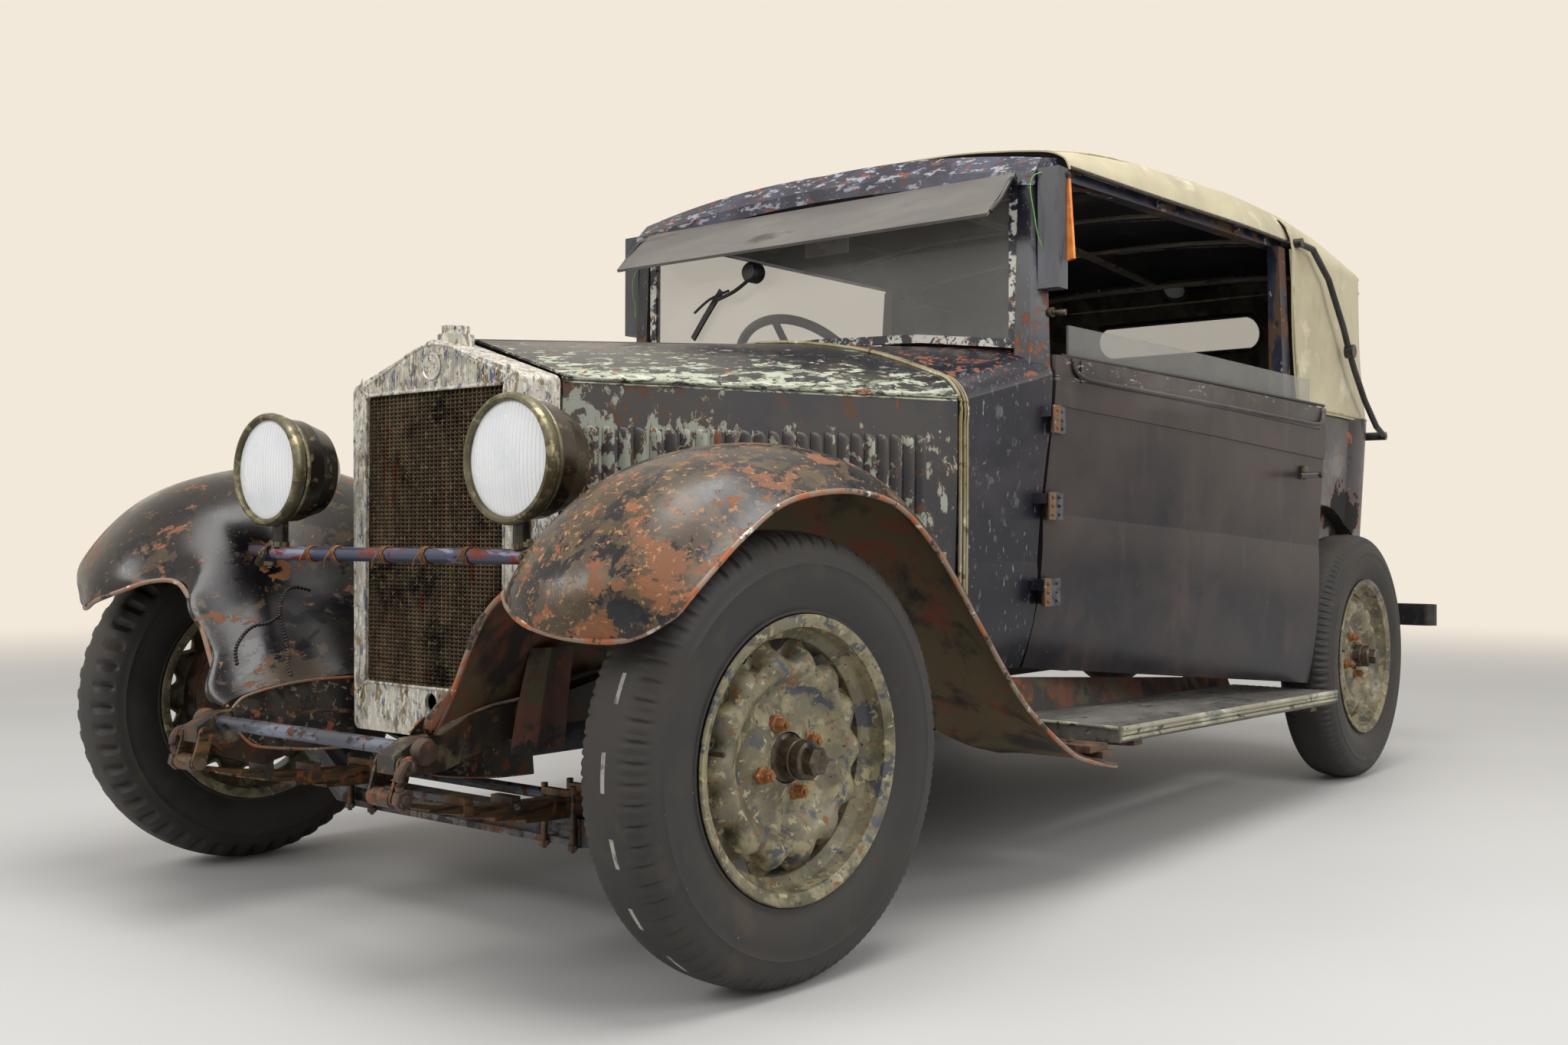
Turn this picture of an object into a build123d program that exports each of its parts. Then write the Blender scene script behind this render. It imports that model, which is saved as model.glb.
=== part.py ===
from build123d import *
import math
import os

# Driving dimensions in mm. The front axle is at X 0, X points forward, Y to the car's left, the floor is Z 0.
WHEELBASE = 2642.0
TRACK = 1490.0
TYRE_R = 352.0
STEER_REST = -3.8
DOOR_AJAR = 6.0
REAR = -WHEELBASE
KINGPIN_Y = TRACK / 2 - 89
FENDER_Y = TRACK / 2 + 100
DOOR_FRONT, DOOR_REAR = -1094.0, REAR + 358
BONNET_FRONT, BONNET_REAR = -18.0, -840.0
ROW_SHIFT = 1524.0

HUB_F = (0.0, TRACK / 2, TYRE_R)
HUB_R = (REAR, TRACK / 2, TYRE_R)
BASE = (Align.CENTER, Align.CENTER, Align.MIN)
parts = {}


# Small helpers

def block(x0, x1, y0, y1, z0, z1):
    return Pos((x0 + x1) / 2, (y0 + y1) / 2, (z0 + z1) / 2) * Box(x1 - x0, y1 - y0, z1 - z0)


def rod(p, q, r, r2=None):
    p, q = Vector(*p), Vector(*q)
    d = q - p
    body = Cylinder(r, d.length, align=BASE) if r2 is None else Cone(r, r2, d.length, align=BASE)
    return Plane(origin=p, z_dir=d.normalized()) * body


def pipe(points, r):
    out = rod(points[0], points[1], r)
    for i, (p, q) in enumerate(zip(points[1:], points[2:])):
        out = out + Pos(*p) * Sphere(r) + rod(p, q, r)
    return out


def ring(profile, centre=(0, 0, 0)):
    """Turned about a Y line through centre; profile rows are (radius, y)."""
    pts = [(r, 0, y) for r, y in profile]
    face = Face(Wire.make_polygon([Vector(*p) for p in pts], close=True))
    body = Solid.revolve(face, 360, Axis.Z)
    return Pos(*centre) * (Rot(-90, 0, 0) * body)


def prism_y(rows, y0, y1):
    """Outline of (x, z) rows, drawn out from y0 to y1."""
    face = Face(Wire.make_polygon([Vector(x, y0, z) for x, z in rows], close=True))
    return Solid.extrude(face, Vector(0, y1 - y0, 0))


def prism_x(rows, x0, x1):
    face = Face(Wire.make_polygon([Vector(x0, y, z) for y, z in rows], close=True))
    return Solid.extrude(face, Vector(x1 - x0, 0, 0))


def prism_z(rows, z0, z1):
    face = Face(Wire.make_polygon([Vector(x, y, z0) for x, y in rows], close=True))
    return Solid.extrude(face, Vector(0, 0, z1 - z0))


def mirrored(s):
    return mirror(s, about=Plane.XZ)


def both(s):
    return [s, mirrored(s)]


def edge(a, m, b):
    a, m, b = Vector(*a), Vector(*m), Vector(*b)
    chord = b - a
    off = (m - a).cross(chord).length / chord.length
    return Edge.make_line(a, b) if off < 0.4 else Edge.make_three_point_arc(a, m, b)


def offset_row(row, t):
    """Moves each (u, v) point of a row by t to its left."""
    out = []
    for i, (u, v) in enumerate(row):
        a, b = row[max(i - 1, 0)], row[min(i + 1, len(row) - 1)]
        du, dv = b[0] - a[0], b[1] - a[1]
        n = math.hypot(du, dv)
        out.append((u - dv / n * t, v + du / n * t))
    return out


def band(row, t, place):
    """A closed strip t thick along a row of points taken as arcs through every second one."""
    inner = offset_row(row, t)
    a, b = [place(*p) for p in row], [place(*p) for p in inner]
    edges = [edge(a[i], a[i + 1], a[i + 2]) for i in range(0, len(a) - 2, 2)]
    edges.append(Edge.make_line(Vector(*a[-1]), Vector(*b[-1])))
    edges += [edge(b[i], b[i - 1], b[i - 2]) for i in range(len(b) - 1, 1, -2)]
    edges.append(Edge.make_line(Vector(*b[0]), Vector(*a[0])))
    return Wire(edges)


def skin(sections):
    return Solid.make_loft(sections, ruled=True)


def at_x(x):
    return lambda y, z: (x, y, z)


def at_z(z):
    return lambda x, y: (x, y, z)


def lerp(a, b, t):
    return a + (b - a) * t


def belt_y(x):
    """Half width of the body at the belt."""
    table = [(-842, 548), (-1094, 640), (-1700, 684), (REAR + 312, 700), (REAR - 158, 690), (REAR - 488, 650)]
    for (xa, ya), (xb, yb) in zip(table, table[1:]):
        if x >= xb:
            return lerp(ya, yb, (x - xa) / (xb - xa))
    return table[-1][1]


def belt_z(x):
    return lerp(1092, 1050, (x - DOOR_FRONT) / (REAR + 320 - DOOR_FRONT))


# Wheels and tyres, each about its own hub, outboard side to +Y

TYRE_ROWS = [(207.2, -48), (222, -56), (250, -69), (285, -73.5), (315, -70), (338, -60), (349, -48), (352, -20),
             (352, 20), (349, 48), (338, 60), (315, 70), (285, 73.5), (250, 69), (222, 56), (207.2, 48)]
RIM_ROWS = [(220, -66), (220, -62), (207, -57), (205, -30), (190, -18), (190, 18), (205, 30), (207, 57), (220, 62),
            (220, 66), (204, 60), (200, 31), (185, 19), (185, -19), (200, -31), (204, -60)]
DISC_ROWS = [(187, 2), (187, 10), (178, 16), (168, 34), (152, 44), (140, 46), (128, 43), (112, 27), (100, 20), (84, 18),
             (60, 26), (44, 30), (38, 40), (38, 84), (26, 88), (24, 98), (0.5, 98), (0.5, 20), (60, 18), (84, 12),
             (100, 14), (114, 20), (130, 35), (140, 38), (150, 37), (162, 28), (172, 8), (178, 4)]
LOBES = 14
DRUM_ROWS = [(150, -58), (150, -8), (60, -4), (60, 24), (50, 24), (50, -12), (142, -16), (142, -58)]


def wheel():
    disc = ring(DISC_ROWS)
    for i in range(LOBES):
        a = math.tau * (i + 0.5) / LOBES
        disc -= rod((194 * math.cos(a), -4, 194 * math.sin(a)), (160 * math.cos(a), 62, 160 * math.sin(a)), 14)
    body = ring(RIM_ROWS) + disc + ring(DRUM_ROWS)
    for i in range(5):
        a = math.radians(72 * i + 18)
        body += rod((58 * math.cos(a), 20, 58 * math.sin(a)), (58 * math.cos(a), 46, 58 * math.sin(a)), 9)
    hub = rod((0, -70, 0), (0, 96, 0), 17.05)
    return body - hub + rod((0, 70, 0), (0, 97, 0), 22)


def tyre():
    return ring(TYRE_ROWS)


def turned(s, centre, side, steer=0.0):
    """Puts a hub-centred piece at its hub; the right side is the mirror image, steered the same way."""
    s = s if side > 0 else mirrored(s)
    return Pos(centre[0], side * centre[1], centre[2]) * s


def steered(s, side):
    pin = Axis((0, side * KINGPIN_Y, 0), (0, 0, 1))
    return s.rotate(pin, STEER_REST)


for name, side in (("left", 1), ("right", -1)):
    parts["tyre_front_" + name] = steered(turned(tyre(), HUB_F, side), side)
    parts["wheel_front_" + name] = steered(turned(wheel(), HUB_F, side), side)
    parts["tyre_rear_" + name] = turned(tyre(), HUB_R, side)
    parts["wheel_rear_" + name] = turned(wheel(), HUB_R, side)


# Front axle, knuckles and steering linkage

ARM_X, ARM_Z = -150.0, 198.0


def knuckle():
    k = rod((0, KINGPIN_Y, 268), (0, KINGPIN_Y, 436), 12)
    k += rod((0, KINGPIN_Y, 390), (0, KINGPIN_Y, 432), 24) + rod((0, KINGPIN_Y, 272), (0, KINGPIN_Y, 313), 24)
    k += block(-16, 16, KINGPIN_Y + 26, KINGPIN_Y + 44, 276, 430)
    k += block(-16, 16, KINGPIN_Y + 10, KINGPIN_Y + 30, 276, 312) + block(-16, 16, KINGPIN_Y + 10, KINGPIN_Y + 30, 391, 430)
    y = TRACK / 2
    k += rod((0, KINGPIN_Y + 40, TYRE_R), (0, y + 66, TYRE_R), 17)
    k += rod((0, y - 66, TYRE_R), (0, y - 62, TYRE_R), 148) + rod((0, KINGPIN_Y + 2, TYRE_R), (0, y - 40, TYRE_R), 30)
    k -= rod((0, KINGPIN_Y, 314), (0, KINGPIN_Y, 389), 32)
    k += rod((0, KINGPIN_Y, 314), (0, KINGPIN_Y, 389), 12)
    k += block(ARM_X - 2, -10, KINGPIN_Y - 10, KINGPIN_Y + 10, 282, 300)
    k += rod((ARM_X, KINGPIN_Y, ARM_Z + 16), (ARM_X, KINGPIN_Y, 302), 14)
    k += rod((ARM_X, KINGPIN_Y, ARM_Z - 18), (ARM_X, KINGPIN_Y, ARM_Z + 22), 8)
    return k


for name, side in (("left", 1), ("right", -1)):
    k = knuckle() if side > 0 else mirrored(knuckle())
    parts["knuckle_" + name] = steered(k, side)

s, c = math.sin(math.radians(STEER_REST)), math.cos(math.radians(STEER_REST))
rod_x, rod_y = ARM_X * c, ARM_X * s
tie = rod((rod_x, rod_y - KINGPIN_Y + 12, ARM_Z), (rod_x, rod_y + KINGPIN_Y - 12, ARM_Z), 11)
for side in (1, -1):
    p = (rod_x, rod_y + side * KINGPIN_Y)
    tie += rod((p[0], p[1], ARM_Z - 14), (p[0], p[1], ARM_Z + 14), 14)
    tie -= rod((p[0], p[1], ARM_Z - 30), (p[0], p[1], ARM_Z + 30), 8.05)
parts["track_rod"] = tie

beam = block(-24, 24, -330, 330, 156, 206)
beam -= block(8, 30, -312, 312, 168, 194) + block(-30, -8, -312, 312, 168, 194)
for side in (1, -1):
    k = KINGPIN_Y
    rise = Face(Wire.make_polygon([Vector(-20, side * y, z) for y, z in ((320, 156), (380, 160), (k - 96, 300),
                (k - 6, 322), (k - 6, 380), (k - 96, 352), (350, 206), (320, 206))], close=True))
    beam += Solid.extrude(rise, Vector(40, 0, 0))
    beam += rod((0, side * KINGPIN_Y, 314), (0, side * KINGPIN_Y, 389), 24)
    beam -= rod((0, side * KINGPIN_Y, 300), (0, side * KINGPIN_Y, 400), 12.05)
parts["front_axle"] = beam

# Leaf springs: eye heights and a camber arc, thicker at the middle


def leaf_spring(x0, z0, x1, z1, zmid, y, width=48, leaves=5):
    xm = (x0 + x1) / 2
    out = None
    for i in range(leaves):
        f = 1 - 0.17 * i
        a, b, t = lerp(xm, x0, f), lerp(xm, x1, f), 7.0
        zc = lambda x: zmid + (lerp(z0, z1, (x - x0) / (x1 - x0)) - zmid) * ((x - xm) / (x1 - xm)) ** 2 - t * i
        w = band([(a, zc(a)), (xm, zc(xm)), (b, zc(b))], t + 0.02, lambda u, v: (u, y - width / 2, v))
        leaf = Solid.extrude(Face(w), Vector(0, width, 0))
        out = leaf if out is None else out + leaf
    for x, z in ((x0, z0), (x1, z1)):
        out += rod((x, y - width / 2, z + 4), (x, y + width / 2, z + 4), 15)
    return out - rod((x0, y - 40, z0 + 4), (x0, y + 40, z0 + 4), 8.05)


SPRING_Y = 284.0
springs = [leaf_spring(392, 284, -392, 300, 241.3, side * SPRING_Y) for side in (1, -1)]
for side in (1, -1):
    y = side * SPRING_Y
    link = rod((378, y - 31, 338), (378, y + 31, 338), 8) + rod((392, y - 31, 288), (392, y + 31, 288), 8)
    for a in (-31, 25):
        link += rod((378, y + a, 338), (378, y + a + 6, 338), 14) + rod((392, y + a, 288), (392, y + a + 6, 288), 14)
        link += prism_y([(366, 336), (390, 341), (405, 291), (379, 285)], y + a, y + a + 6)
    springs += [link, block(-406, -378, y - 20, y + 20, 319.3, 371.7)]
springs += [leaf_spring(REAR + 442, 352.6, REAR - 458, 352.6, 315.6, side * 424) for side in (1, -1)]

for side in (1, -1):
    y = side * SPRING_Y
    for x in (-30.2, 30.2):
        springs.append(rod((x, y - 36, 160), (x, y - 36, 262), 6) + rod((x, y + 36, 160), (x, y + 36, 262), 6)
                                      + block(x - 6, x + 6, y - 36, y + 36, 242.6, 255))

parts["leaf_springs"] = springs

# Rear axle and drive

y = TRACK / 2
axle = rod((REAR, -y + 70, TYRE_R), (REAR, y - 70, TYRE_R), 36)
axle += Pos(REAR, 0, TYRE_R) * Sphere(128) + rod((REAR, 0, TYRE_R), (REAR + 300, 0, 372), 90, 44)
axle += rod((REAR + 250, 0, 369), (-1482, 0, 408), 36)
for side in (1, -1):
    axle += rod((REAR, side * (y - 72), TYRE_R), (REAR, side * (y - 62), TYRE_R), 148)
    axle += rod((REAR, side * (y - 66), TYRE_R), (REAR, side * (y + 66), TYRE_R), 17)
parts["rear_axle"] = axle

# Frame

RAIL_TOP = [(-100, 452), (0, 432), (60, 420), (180, 412), (244, 402), (300, 376), (350, 374), (392, 352)]
RAIL_BOTTOM = [(392, 324), (364, 318), (300, 318), (180, 352), (60, 372), (-100, 372)]
RAIL_PLAN = [(-100, 262), (-100, 306), (-450, 306), (-1000, 446), (REAR - 598, 446), (REAR - 598, 402), (-1000, 402), (-450, 262)]
TUBE_X, TUBE_Z = 344, 356
rail = []
for side in (1, -1):
    r = prism_y(RAIL_TOP + RAIL_BOTTOM, side * 262, side * 306)
    r += prism_z([(x, side * y) for x, y in RAIL_PLAN], 372, 452)
    r -= rod((TUBE_X, -320, TUBE_Z), (TUBE_X, 320, TUBE_Z), 12.5) + rod((378, -320, 338), (378, 320, 338), 8.05)
    rail.append(r - block(REAR - 118, REAR + 118, side * 424 - 30, side * 424 + 30, 360, 404))
parts["frame_rails"] = rail
DIP = [(-402, 380), (-100, 380), (-75, 296), (75, 296), (100, 380), (402, 380), (402, 440), (80, 440), (60, 328),
       (-60, 328), (-80, 440), (-402, 440)]
parts["frame_crossmembers"] = [block(-70, -10.3, -261.8, 261.8, 380, 430), prism_x(DIP, -1560, -1500),
                               prism_x(DIP, REAR + 382, REAR + 442), block(REAR - 558, REAR - 498, -402, 402, 380, 440),
                               rod((TUBE_X, -300, TUBE_Z), (TUBE_X, 300, TUBE_Z), 12.5)]

# Engine with gearbox, one plain block each joined end to end, and the exhaust

parts["engine"] = (block(-760, -80, -110, 110, 470, 860) + block(-740, -120, -90, 90, 300, 470)
                   + rod((-760, 0, 450), (-856, 0, 450), 150, 110) + block(-1250, -856, -90, 90, 350, 540)
                   + rod((-1250, 0, 408), (-1480, 0, 408), 38))
parts["exhaust"] = (rod((-300, -110.2, 560), (-300, -133, 560), 21) + pipe([(-300, -133, 560), (-420, -200, 420), (-700, -300, 330), (-1300, -300, 300)], 22)
                    + rod((-1300, -300, 300), (-1900, -300, 300), 65)
                    + pipe([(-1900, -300, 300), (REAR + 292, -300, 260), (REAR - 658, -300, 260)], 18))

# Radiator: a plated shell with rounded corners round a core of upright ribbon strips

SHELL = [(-231, 324), (231, 324), (241, 977), (0, 1054), (-241, 977)]
HOLE_Z, STRIPS, CORE_Y, CORE_Z = 388, 33, 199, (415, 960)
shell = prism_x(SHELL, -10, 84)
shell = fillet(shell.edges().filter_by(Axis.X), 16)
hollow = prism_x([(-223, 332), (223, 332), (233, 971), (0, 1045), (-233, 971)], -20, 76)
shell -= fillet(hollow.edges().filter_by(Axis.X), 9)
mouth = prism_x([(y, z) for y, z in ((-CORE_Y, CORE_Z[0]), (CORE_Y, CORE_Z[0]), (CORE_Y, CORE_Z[1]), (-CORE_Y, CORE_Z[1]))], 60, 100)
shell -= fillet(mouth.edges().filter_by(Axis.X), 10)
shell -= rod((60, 0, HOLE_Z), (100, 0, HOLE_Z), 17)
shell += rod((30, 0, 1036), (30, 0, 1066), 34) + rod((30, 0, 1066), (30, 0, 1082), 26)
shell += rod((83, 0, 1003), (87, 0, 1003), 24)
parts["radiator_shell"] = shell
pitch = 2 * CORE_Y / STRIPS
front = [(-221, 14), (-221, 75.9), (-CORE_Y, 75.9)]
for i in range(STRIPS):
    y = -CORE_Y + pitch * i
    front += [(y + 1.5, 70), (y + pitch / 2, 74.5), (y + pitch - 1.5, 70), (y + pitch, 67)]
front += [(CORE_Y + 0.1, 75.9), (221, 75.9), (221, 14)]
parts["radiator_core"] = prism_z([(x, y) for y, x in front], 400, 966)

# Lamps

BAR_X, BAR_Z = 172, 659
lamps, lenses = [], []
for side in (1, -1):
    x, y, z = 201, side * 347, 819
    bowl = Rot(0, 0, 90) * ring([(106, 0), (106, -16), (100, -20), (98, -60), (84, -100), (50, -128), (0.2, -134), (0.2, -130),
                                 (48, -124), (80, -98), (94, -58), (96, -8), (98, -6), (98, 0)])
    bowl = Rot(0, 0, 180) * bowl
    lamps.append(Pos(x, y, z) * bowl + rod((BAR_X, y, BAR_Z + 13.2), (BAR_X, y, 723), 15))
    lens = Rot(0, 0, 90) * ring([(97.9, -5.9), (97.9, -1), (60, 5), (0.2, 8), (0.2, 4), (60, 1), (95, -5.9)])
    lenses.append(Pos(x, y, z) * (Rot(0, 0, 180) * lens))
parts["headlamps"] = lamps
parts["headlamp_glasses"] = lenses

# Front fenders, each one smooth sheet from its lip over the crown and down the inner valance to the frame.
# A row is the seam on the frame, the fender's inner edge, its crown and its outer lip, then the valance's bulge.

FENDER = [
    ((294, 301, 392), (294, 482, 634), (374, 640, 648), (298, 838, 614), 24),
    ((226, 297, 409), (256, 486, 672), (322, 648, 714), (256, 843, 651), 12),
    ((162, 285, 417), (200, 489, 708), (250, 655, 772), (198, 845, 694), 5),
    ((95, 268, 421), (118, 490, 742), (142, 660, 815), (113, 845, 741), 0),
    ((20, 252, 434), (20, 490, 758), (22, 662, 838), (20, 845, 761), -4),
    ((-90, 270, 455), (-90, 493, 757), (-93, 664, 840), (-90, 845, 764), -4),
    ((-200, 310, 455), (-200, 502, 735), (-210, 672, 815), (-203, 845, 739), -2),
    ((-320, 353, 455), (-320, 522, 678), (-337, 690, 750), (-322, 845, 658), 0),
    ((-450, 400, 455), (-450, 556, 572), (-469, 708, 627), (-449, 845, 533), 0),
    ((-600, 455, 452), (-600, 560, 418), (-618, 714, 452), (-598, 845, 391), 0),
    ((-775, 519, 440), (-775, 560, 292), (-790, 714, 309), (-770, 845, 286), 0),
    ((-870, 534, 398), (-870, 560, 258), (-877, 714, 268), (-866, 845, 254), 0),
    ((-980, 541, 386), (-980, 560, 232), (-980, 714, 237), (-980, 845, 230), 0),
]
NOSE = [(312, 301, 378), (312, 345, 441), (312, 388, 518), (314, 432, 577), (318, 474, 606), (350, 512, 606),
        (380, 560, 588), (398, 620, 568), (380, 690, 552), (348, 765, 552), (316, 820, 584)]
FULLNESS = 2.4


def fender_row(seam, inner, crown, lip, bulge):
    seam, inner, crown, lip = Vector(*seam), Vector(*inner), Vector(*crown), Vector(*lip)
    row = [seam + (inner - seam) * s + Vector(0, 0, bulge * 6.75 * s * s * (1 - s)) for s in (0, 0.25, 0.5, 0.75)]
    for end, shares in ((inner, (0, 0.21, 0.58)), (lip, (1, 0.6, 0.22, 0))):
        for s in shares:
            fall = (1 - s) ** FULLNESS
            y = lerp(end.Y, crown.Y, s)
            row.append(Vector(lerp(crown.X, end.X, fall), y, lerp(crown.Z, end.Z, fall)))
    return row


def widened(v):
    """Follows the track: the seam stays on the frame, and the fender moves out with the wheel."""
    out = TRACK / 2 - 745
    return v + Vector(0, out * min(1.0, max(0.0, (v.Y - 300) / 180)), 0)


def fender():
    grid = [[Vector(*p) for p in NOSE]] + [fender_row(*row) for row in FENDER]
    sheet = Face.make_surface_from_array_of_points([[widened(v) for v in row] for row in grid], tol=0.6)
    return sheet


FENDER_SHEET = fender()
wing = thicken(FENDER_SHEET, -3.0)
parts["front_fenders"] = both(wing)

lamp_bar = rod((BAR_X, -380, BAR_Z), (BAR_X, 380, BAR_Z), 13)
for side in (1, -1):
    lamp_bar += rod((BAR_X, side * 372, BAR_Z), (BAR_X, side * 388, BAR_Z), 17)
    lamp_bar += rod((BAR_X, side * 380, BAR_Z), (BAR_X - 6, side * 470, BAR_Z + 6), 12)
lamp_bar = lamp_bar - wing - mirrored(wing)
parts["lamp_bar"] = max(lamp_bar.solids(), key=lambda one: one.volume)

# Running boards and sill aprons

BOARD = REAR + 362
board = prism_y([(-985, 276), (-985, 308), (BOARD, 281), (BOARD, 249)], 560, FENDER_Y)
parts["running_boards"] = both(board)
apron = skin([Wire.make_polygon([Vector(x, 556, z0), Vector(x, 560, z0), Vector(x, 540, z1), Vector(x, 536, z1)], close=True)
              for x, z0, z1 in ((-981, 276, 392), (BOARD, 249, 300))])
arms = [prism_x([(446.2, 440), (446.2, 396), (500, z - 26), (830, z - 14), (830, z), (530, z)], x - 20, x + 20)
        for x, z in ((-1100, 272.6), (REAR + 492, 250.4))]
parts["splash_aprons"] = both(apron - arms[0] - arms[1])
parts["running_board_brackets"] = both(arms[0]) + both(arms[1])

# Bonnet: front and rear half sections as (y, z) rows from the centre hinge to the shoulder

TOP_F = [(6.2, 1062), (90, 1034), (180, 1004), (210, 994), (236, 984)]
TOP_R = [(6.2, 1136), (260, 1108), (470, 1044), (520, 1020), (546, 990)]
SIDE_F = [(239, 975.2), (238, 720), (236, 458)]
SIDE_R = [(549, 983.2), (546, 720), (536, 458)]
HINGE_F, HINGE_R = (0, 1066), (0, 1140)
SHOULDER_F, SHOULDER_R = (237, 980), (547, 988)
top = skin([band(TOP_F, -4, at_x(BONNET_FRONT)), band(TOP_R, -4, at_x(BONNET_REAR))])
parts["bonnet_top_left"] = top + rod((BONNET_FRONT, *SHOULDER_F), (BONNET_REAR, *SHOULDER_R), 4.5)
side_panel = skin([band(SIDE_F, -4, at_x(BONNET_FRONT)), band(SIDE_R, -4, at_x(BONNET_REAR))])


def side_y(x, z):
    """The outer face of the bonnet side, taken as flat between its hinge and its lower edge."""
    t = (x - BONNET_FRONT) / (BONNET_REAR - BONNET_FRONT)
    return lerp(lerp(236, 239, (z - 458) / 517), lerp(536, 549, (z - 458) / 525), t)


def louvre(x, top):
    """A pressed hood, flush at its front edge and open at its rear one."""
    def wedge(grow, height, drop):
        rows = []
        for z in (590 + drop, top - drop):
            y0, y1 = side_y(x, z) - 2, side_y(x - 16, z) - 2
            rows.append(Wire.make_polygon([Vector(x + grow, y0, z), Vector(x - 5, y0 + 2 + height * 0.7, z),
                                           Vector(x - 16, y1 + 2 + height, z), Vector(x - 16, y1, z)], close=True))
        return skin(rows)
    return wedge(3, 8, 0), wedge(-2, 6, 3)


LOUVRES, LOUVRE_FRONT, LOUVRE_REAR = 24, -62, -742
for i in range(LOUVRES):
    x = lerp(LOUVRE_FRONT, LOUVRE_REAR, i / (LOUVRES - 1))
    hood, gap = louvre(x, lerp(889, 900, i / (LOUVRES - 1)))
    slit = Pos(-2, 0, 0) * gap
    side_panel = side_panel - (slit + Pos(0, -4, 0) * slit) + (hood - gap - slit)
parts["bonnet_side_left"] = side_panel
parts["bonnet_top_right"] = mirrored(parts["bonnet_top_left"])
parts["bonnet_side_right"] = mirrored(parts["bonnet_side_left"])
parts["bonnet_hinge"] = rod((-10.4, 0, 1059.3), (-851.2, 0, 1135), 4.5)

# Scuttle: outer (y, z) half sections, then the firewall and screen posts

SC_A = [(0, 1138), (280, 1104), (478, 1040), (525, 1016), (549, 978), (549, 930), (549, 880), (549, 748), (548, 640),
        (546, 520), (538, 420)]
SC_B = [(0, 1148), (320, 1134), (560, 1102), (610, 1088), (636, 1048), (633, 985), (628, 920), (606, 748), (598, 640),
        (590, 520), (552, 405)]


def whole(row):
    return [(-y, z) for y, z in reversed(row)][:-1] + list(row)


scuttle = skin([band(whole(SC_A), -24, at_x(-852)), band(whole(SC_B), -24, at_x(-1088))])
scuttle += skin([band(offset_row(whole(SC_A), t)[1:-1], 5, at_x(x)) for x, t in ((-853, -1), (-866, 0))])
firewall = prism_x(offset_row(whole(SC_A), -12)[1:-1], -874, -864) - block(-900, -840, -160, 160, 400, 612)
posts = None
for side in (1, -1):
    post = Solid.make_loft([Wire.make_polygon([Vector(x, side * y, z) for x, y in rows], close=True) for z, rows in (
        (1040, [(-1050, 560), (-1050, 600), (-1088, 630), (-1088, 570)]),
        (1500, [(-1070, 560), (-1070, 592), (-1108, 606), (-1108, 570)]))], ruled=True)
    scuttle += post
scuttle = scuttle + firewall
parts["scuttle"] = scuttle

# Windscreen

SCREEN = [(-558, 1110), (-300, 1142), (0, 1154), (300, 1142), (558, 1110), (558, 1488), (-558, 1488)]
SIGHT = [(-536, 1132), (-290, 1162), (0, 1174), (290, 1162), (536, 1132), (536, 1468), (-536, 1468)]
parts["windscreen_frame"] = prism_x(SCREEN, -1086, -1070) - prism_x(SIGHT, -1100, -1060)
parts["windscreen_glass"] = prism_x(SIGHT, -1081, -1075)

# Header, sun visor, trafficators

HEAD_A = [(0, 1536), (330, 1522), (604, 1492)]
HEAD_B = [(0, 1578), (330, 1568), (600, 1530)]
HEAD_C = [(0, 1590), (330, 1580), (596, 1545)]
header = skin([band(whole(HEAD_A), -30, at_x(-1064)), band(whole(HEAD_B), -50, at_x(-1100)), band(whole(HEAD_C), -50, at_x(-1180))])
parts["roof_header"] = header - scuttle - parts["windscreen_frame"]
parts["sun_visor"] = prism_y([(-1063.8, 1496), (-1063.8, 1489), (-946, 1380), (-942, 1386)], -556, 556)
parts["trafficators"] = both(block(-1118, -1074, 606, 656, 1236, 1500) - scuttle - header)

# Doors

HINGE_P, HINGE_Q = (-1090, 618, 575), (-1090, 640, 950)


def door_row(x):
    t = (x - DOOR_FRONT) / (DOOR_REAR - DOOR_FRONT)
    zb, zs = belt_z(x), lerp(405, 306, t)
    yb = belt_y(x)
    return [(yb, zb), (yb - 12, lerp(zb, zs, 0.25)), (yb - lerp(34, 22, t), lerp(zb, zs, 0.5)),
            (yb - lerp(46, 26, t), lerp(zb, zs, 0.78)), (yb - lerp(88, 52, t), zs)]


def door():
    d = skin([band(door_row(x), -36, at_x(x)) for x in (DOOR_FRONT, -1700, DOOR_REAR)])
    slot = skin([Wire.make_polygon([Vector(x, belt_y(x) + o, z) for o, z in ((-24, 970), (-14, 970), (-14, 1200), (-24, 1200))], close=True)
                 for x in (DOOR_FRONT - 60, -1700, DOOR_REAR + 60)])
    d -= slot
    return d + belt_panel()


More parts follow.
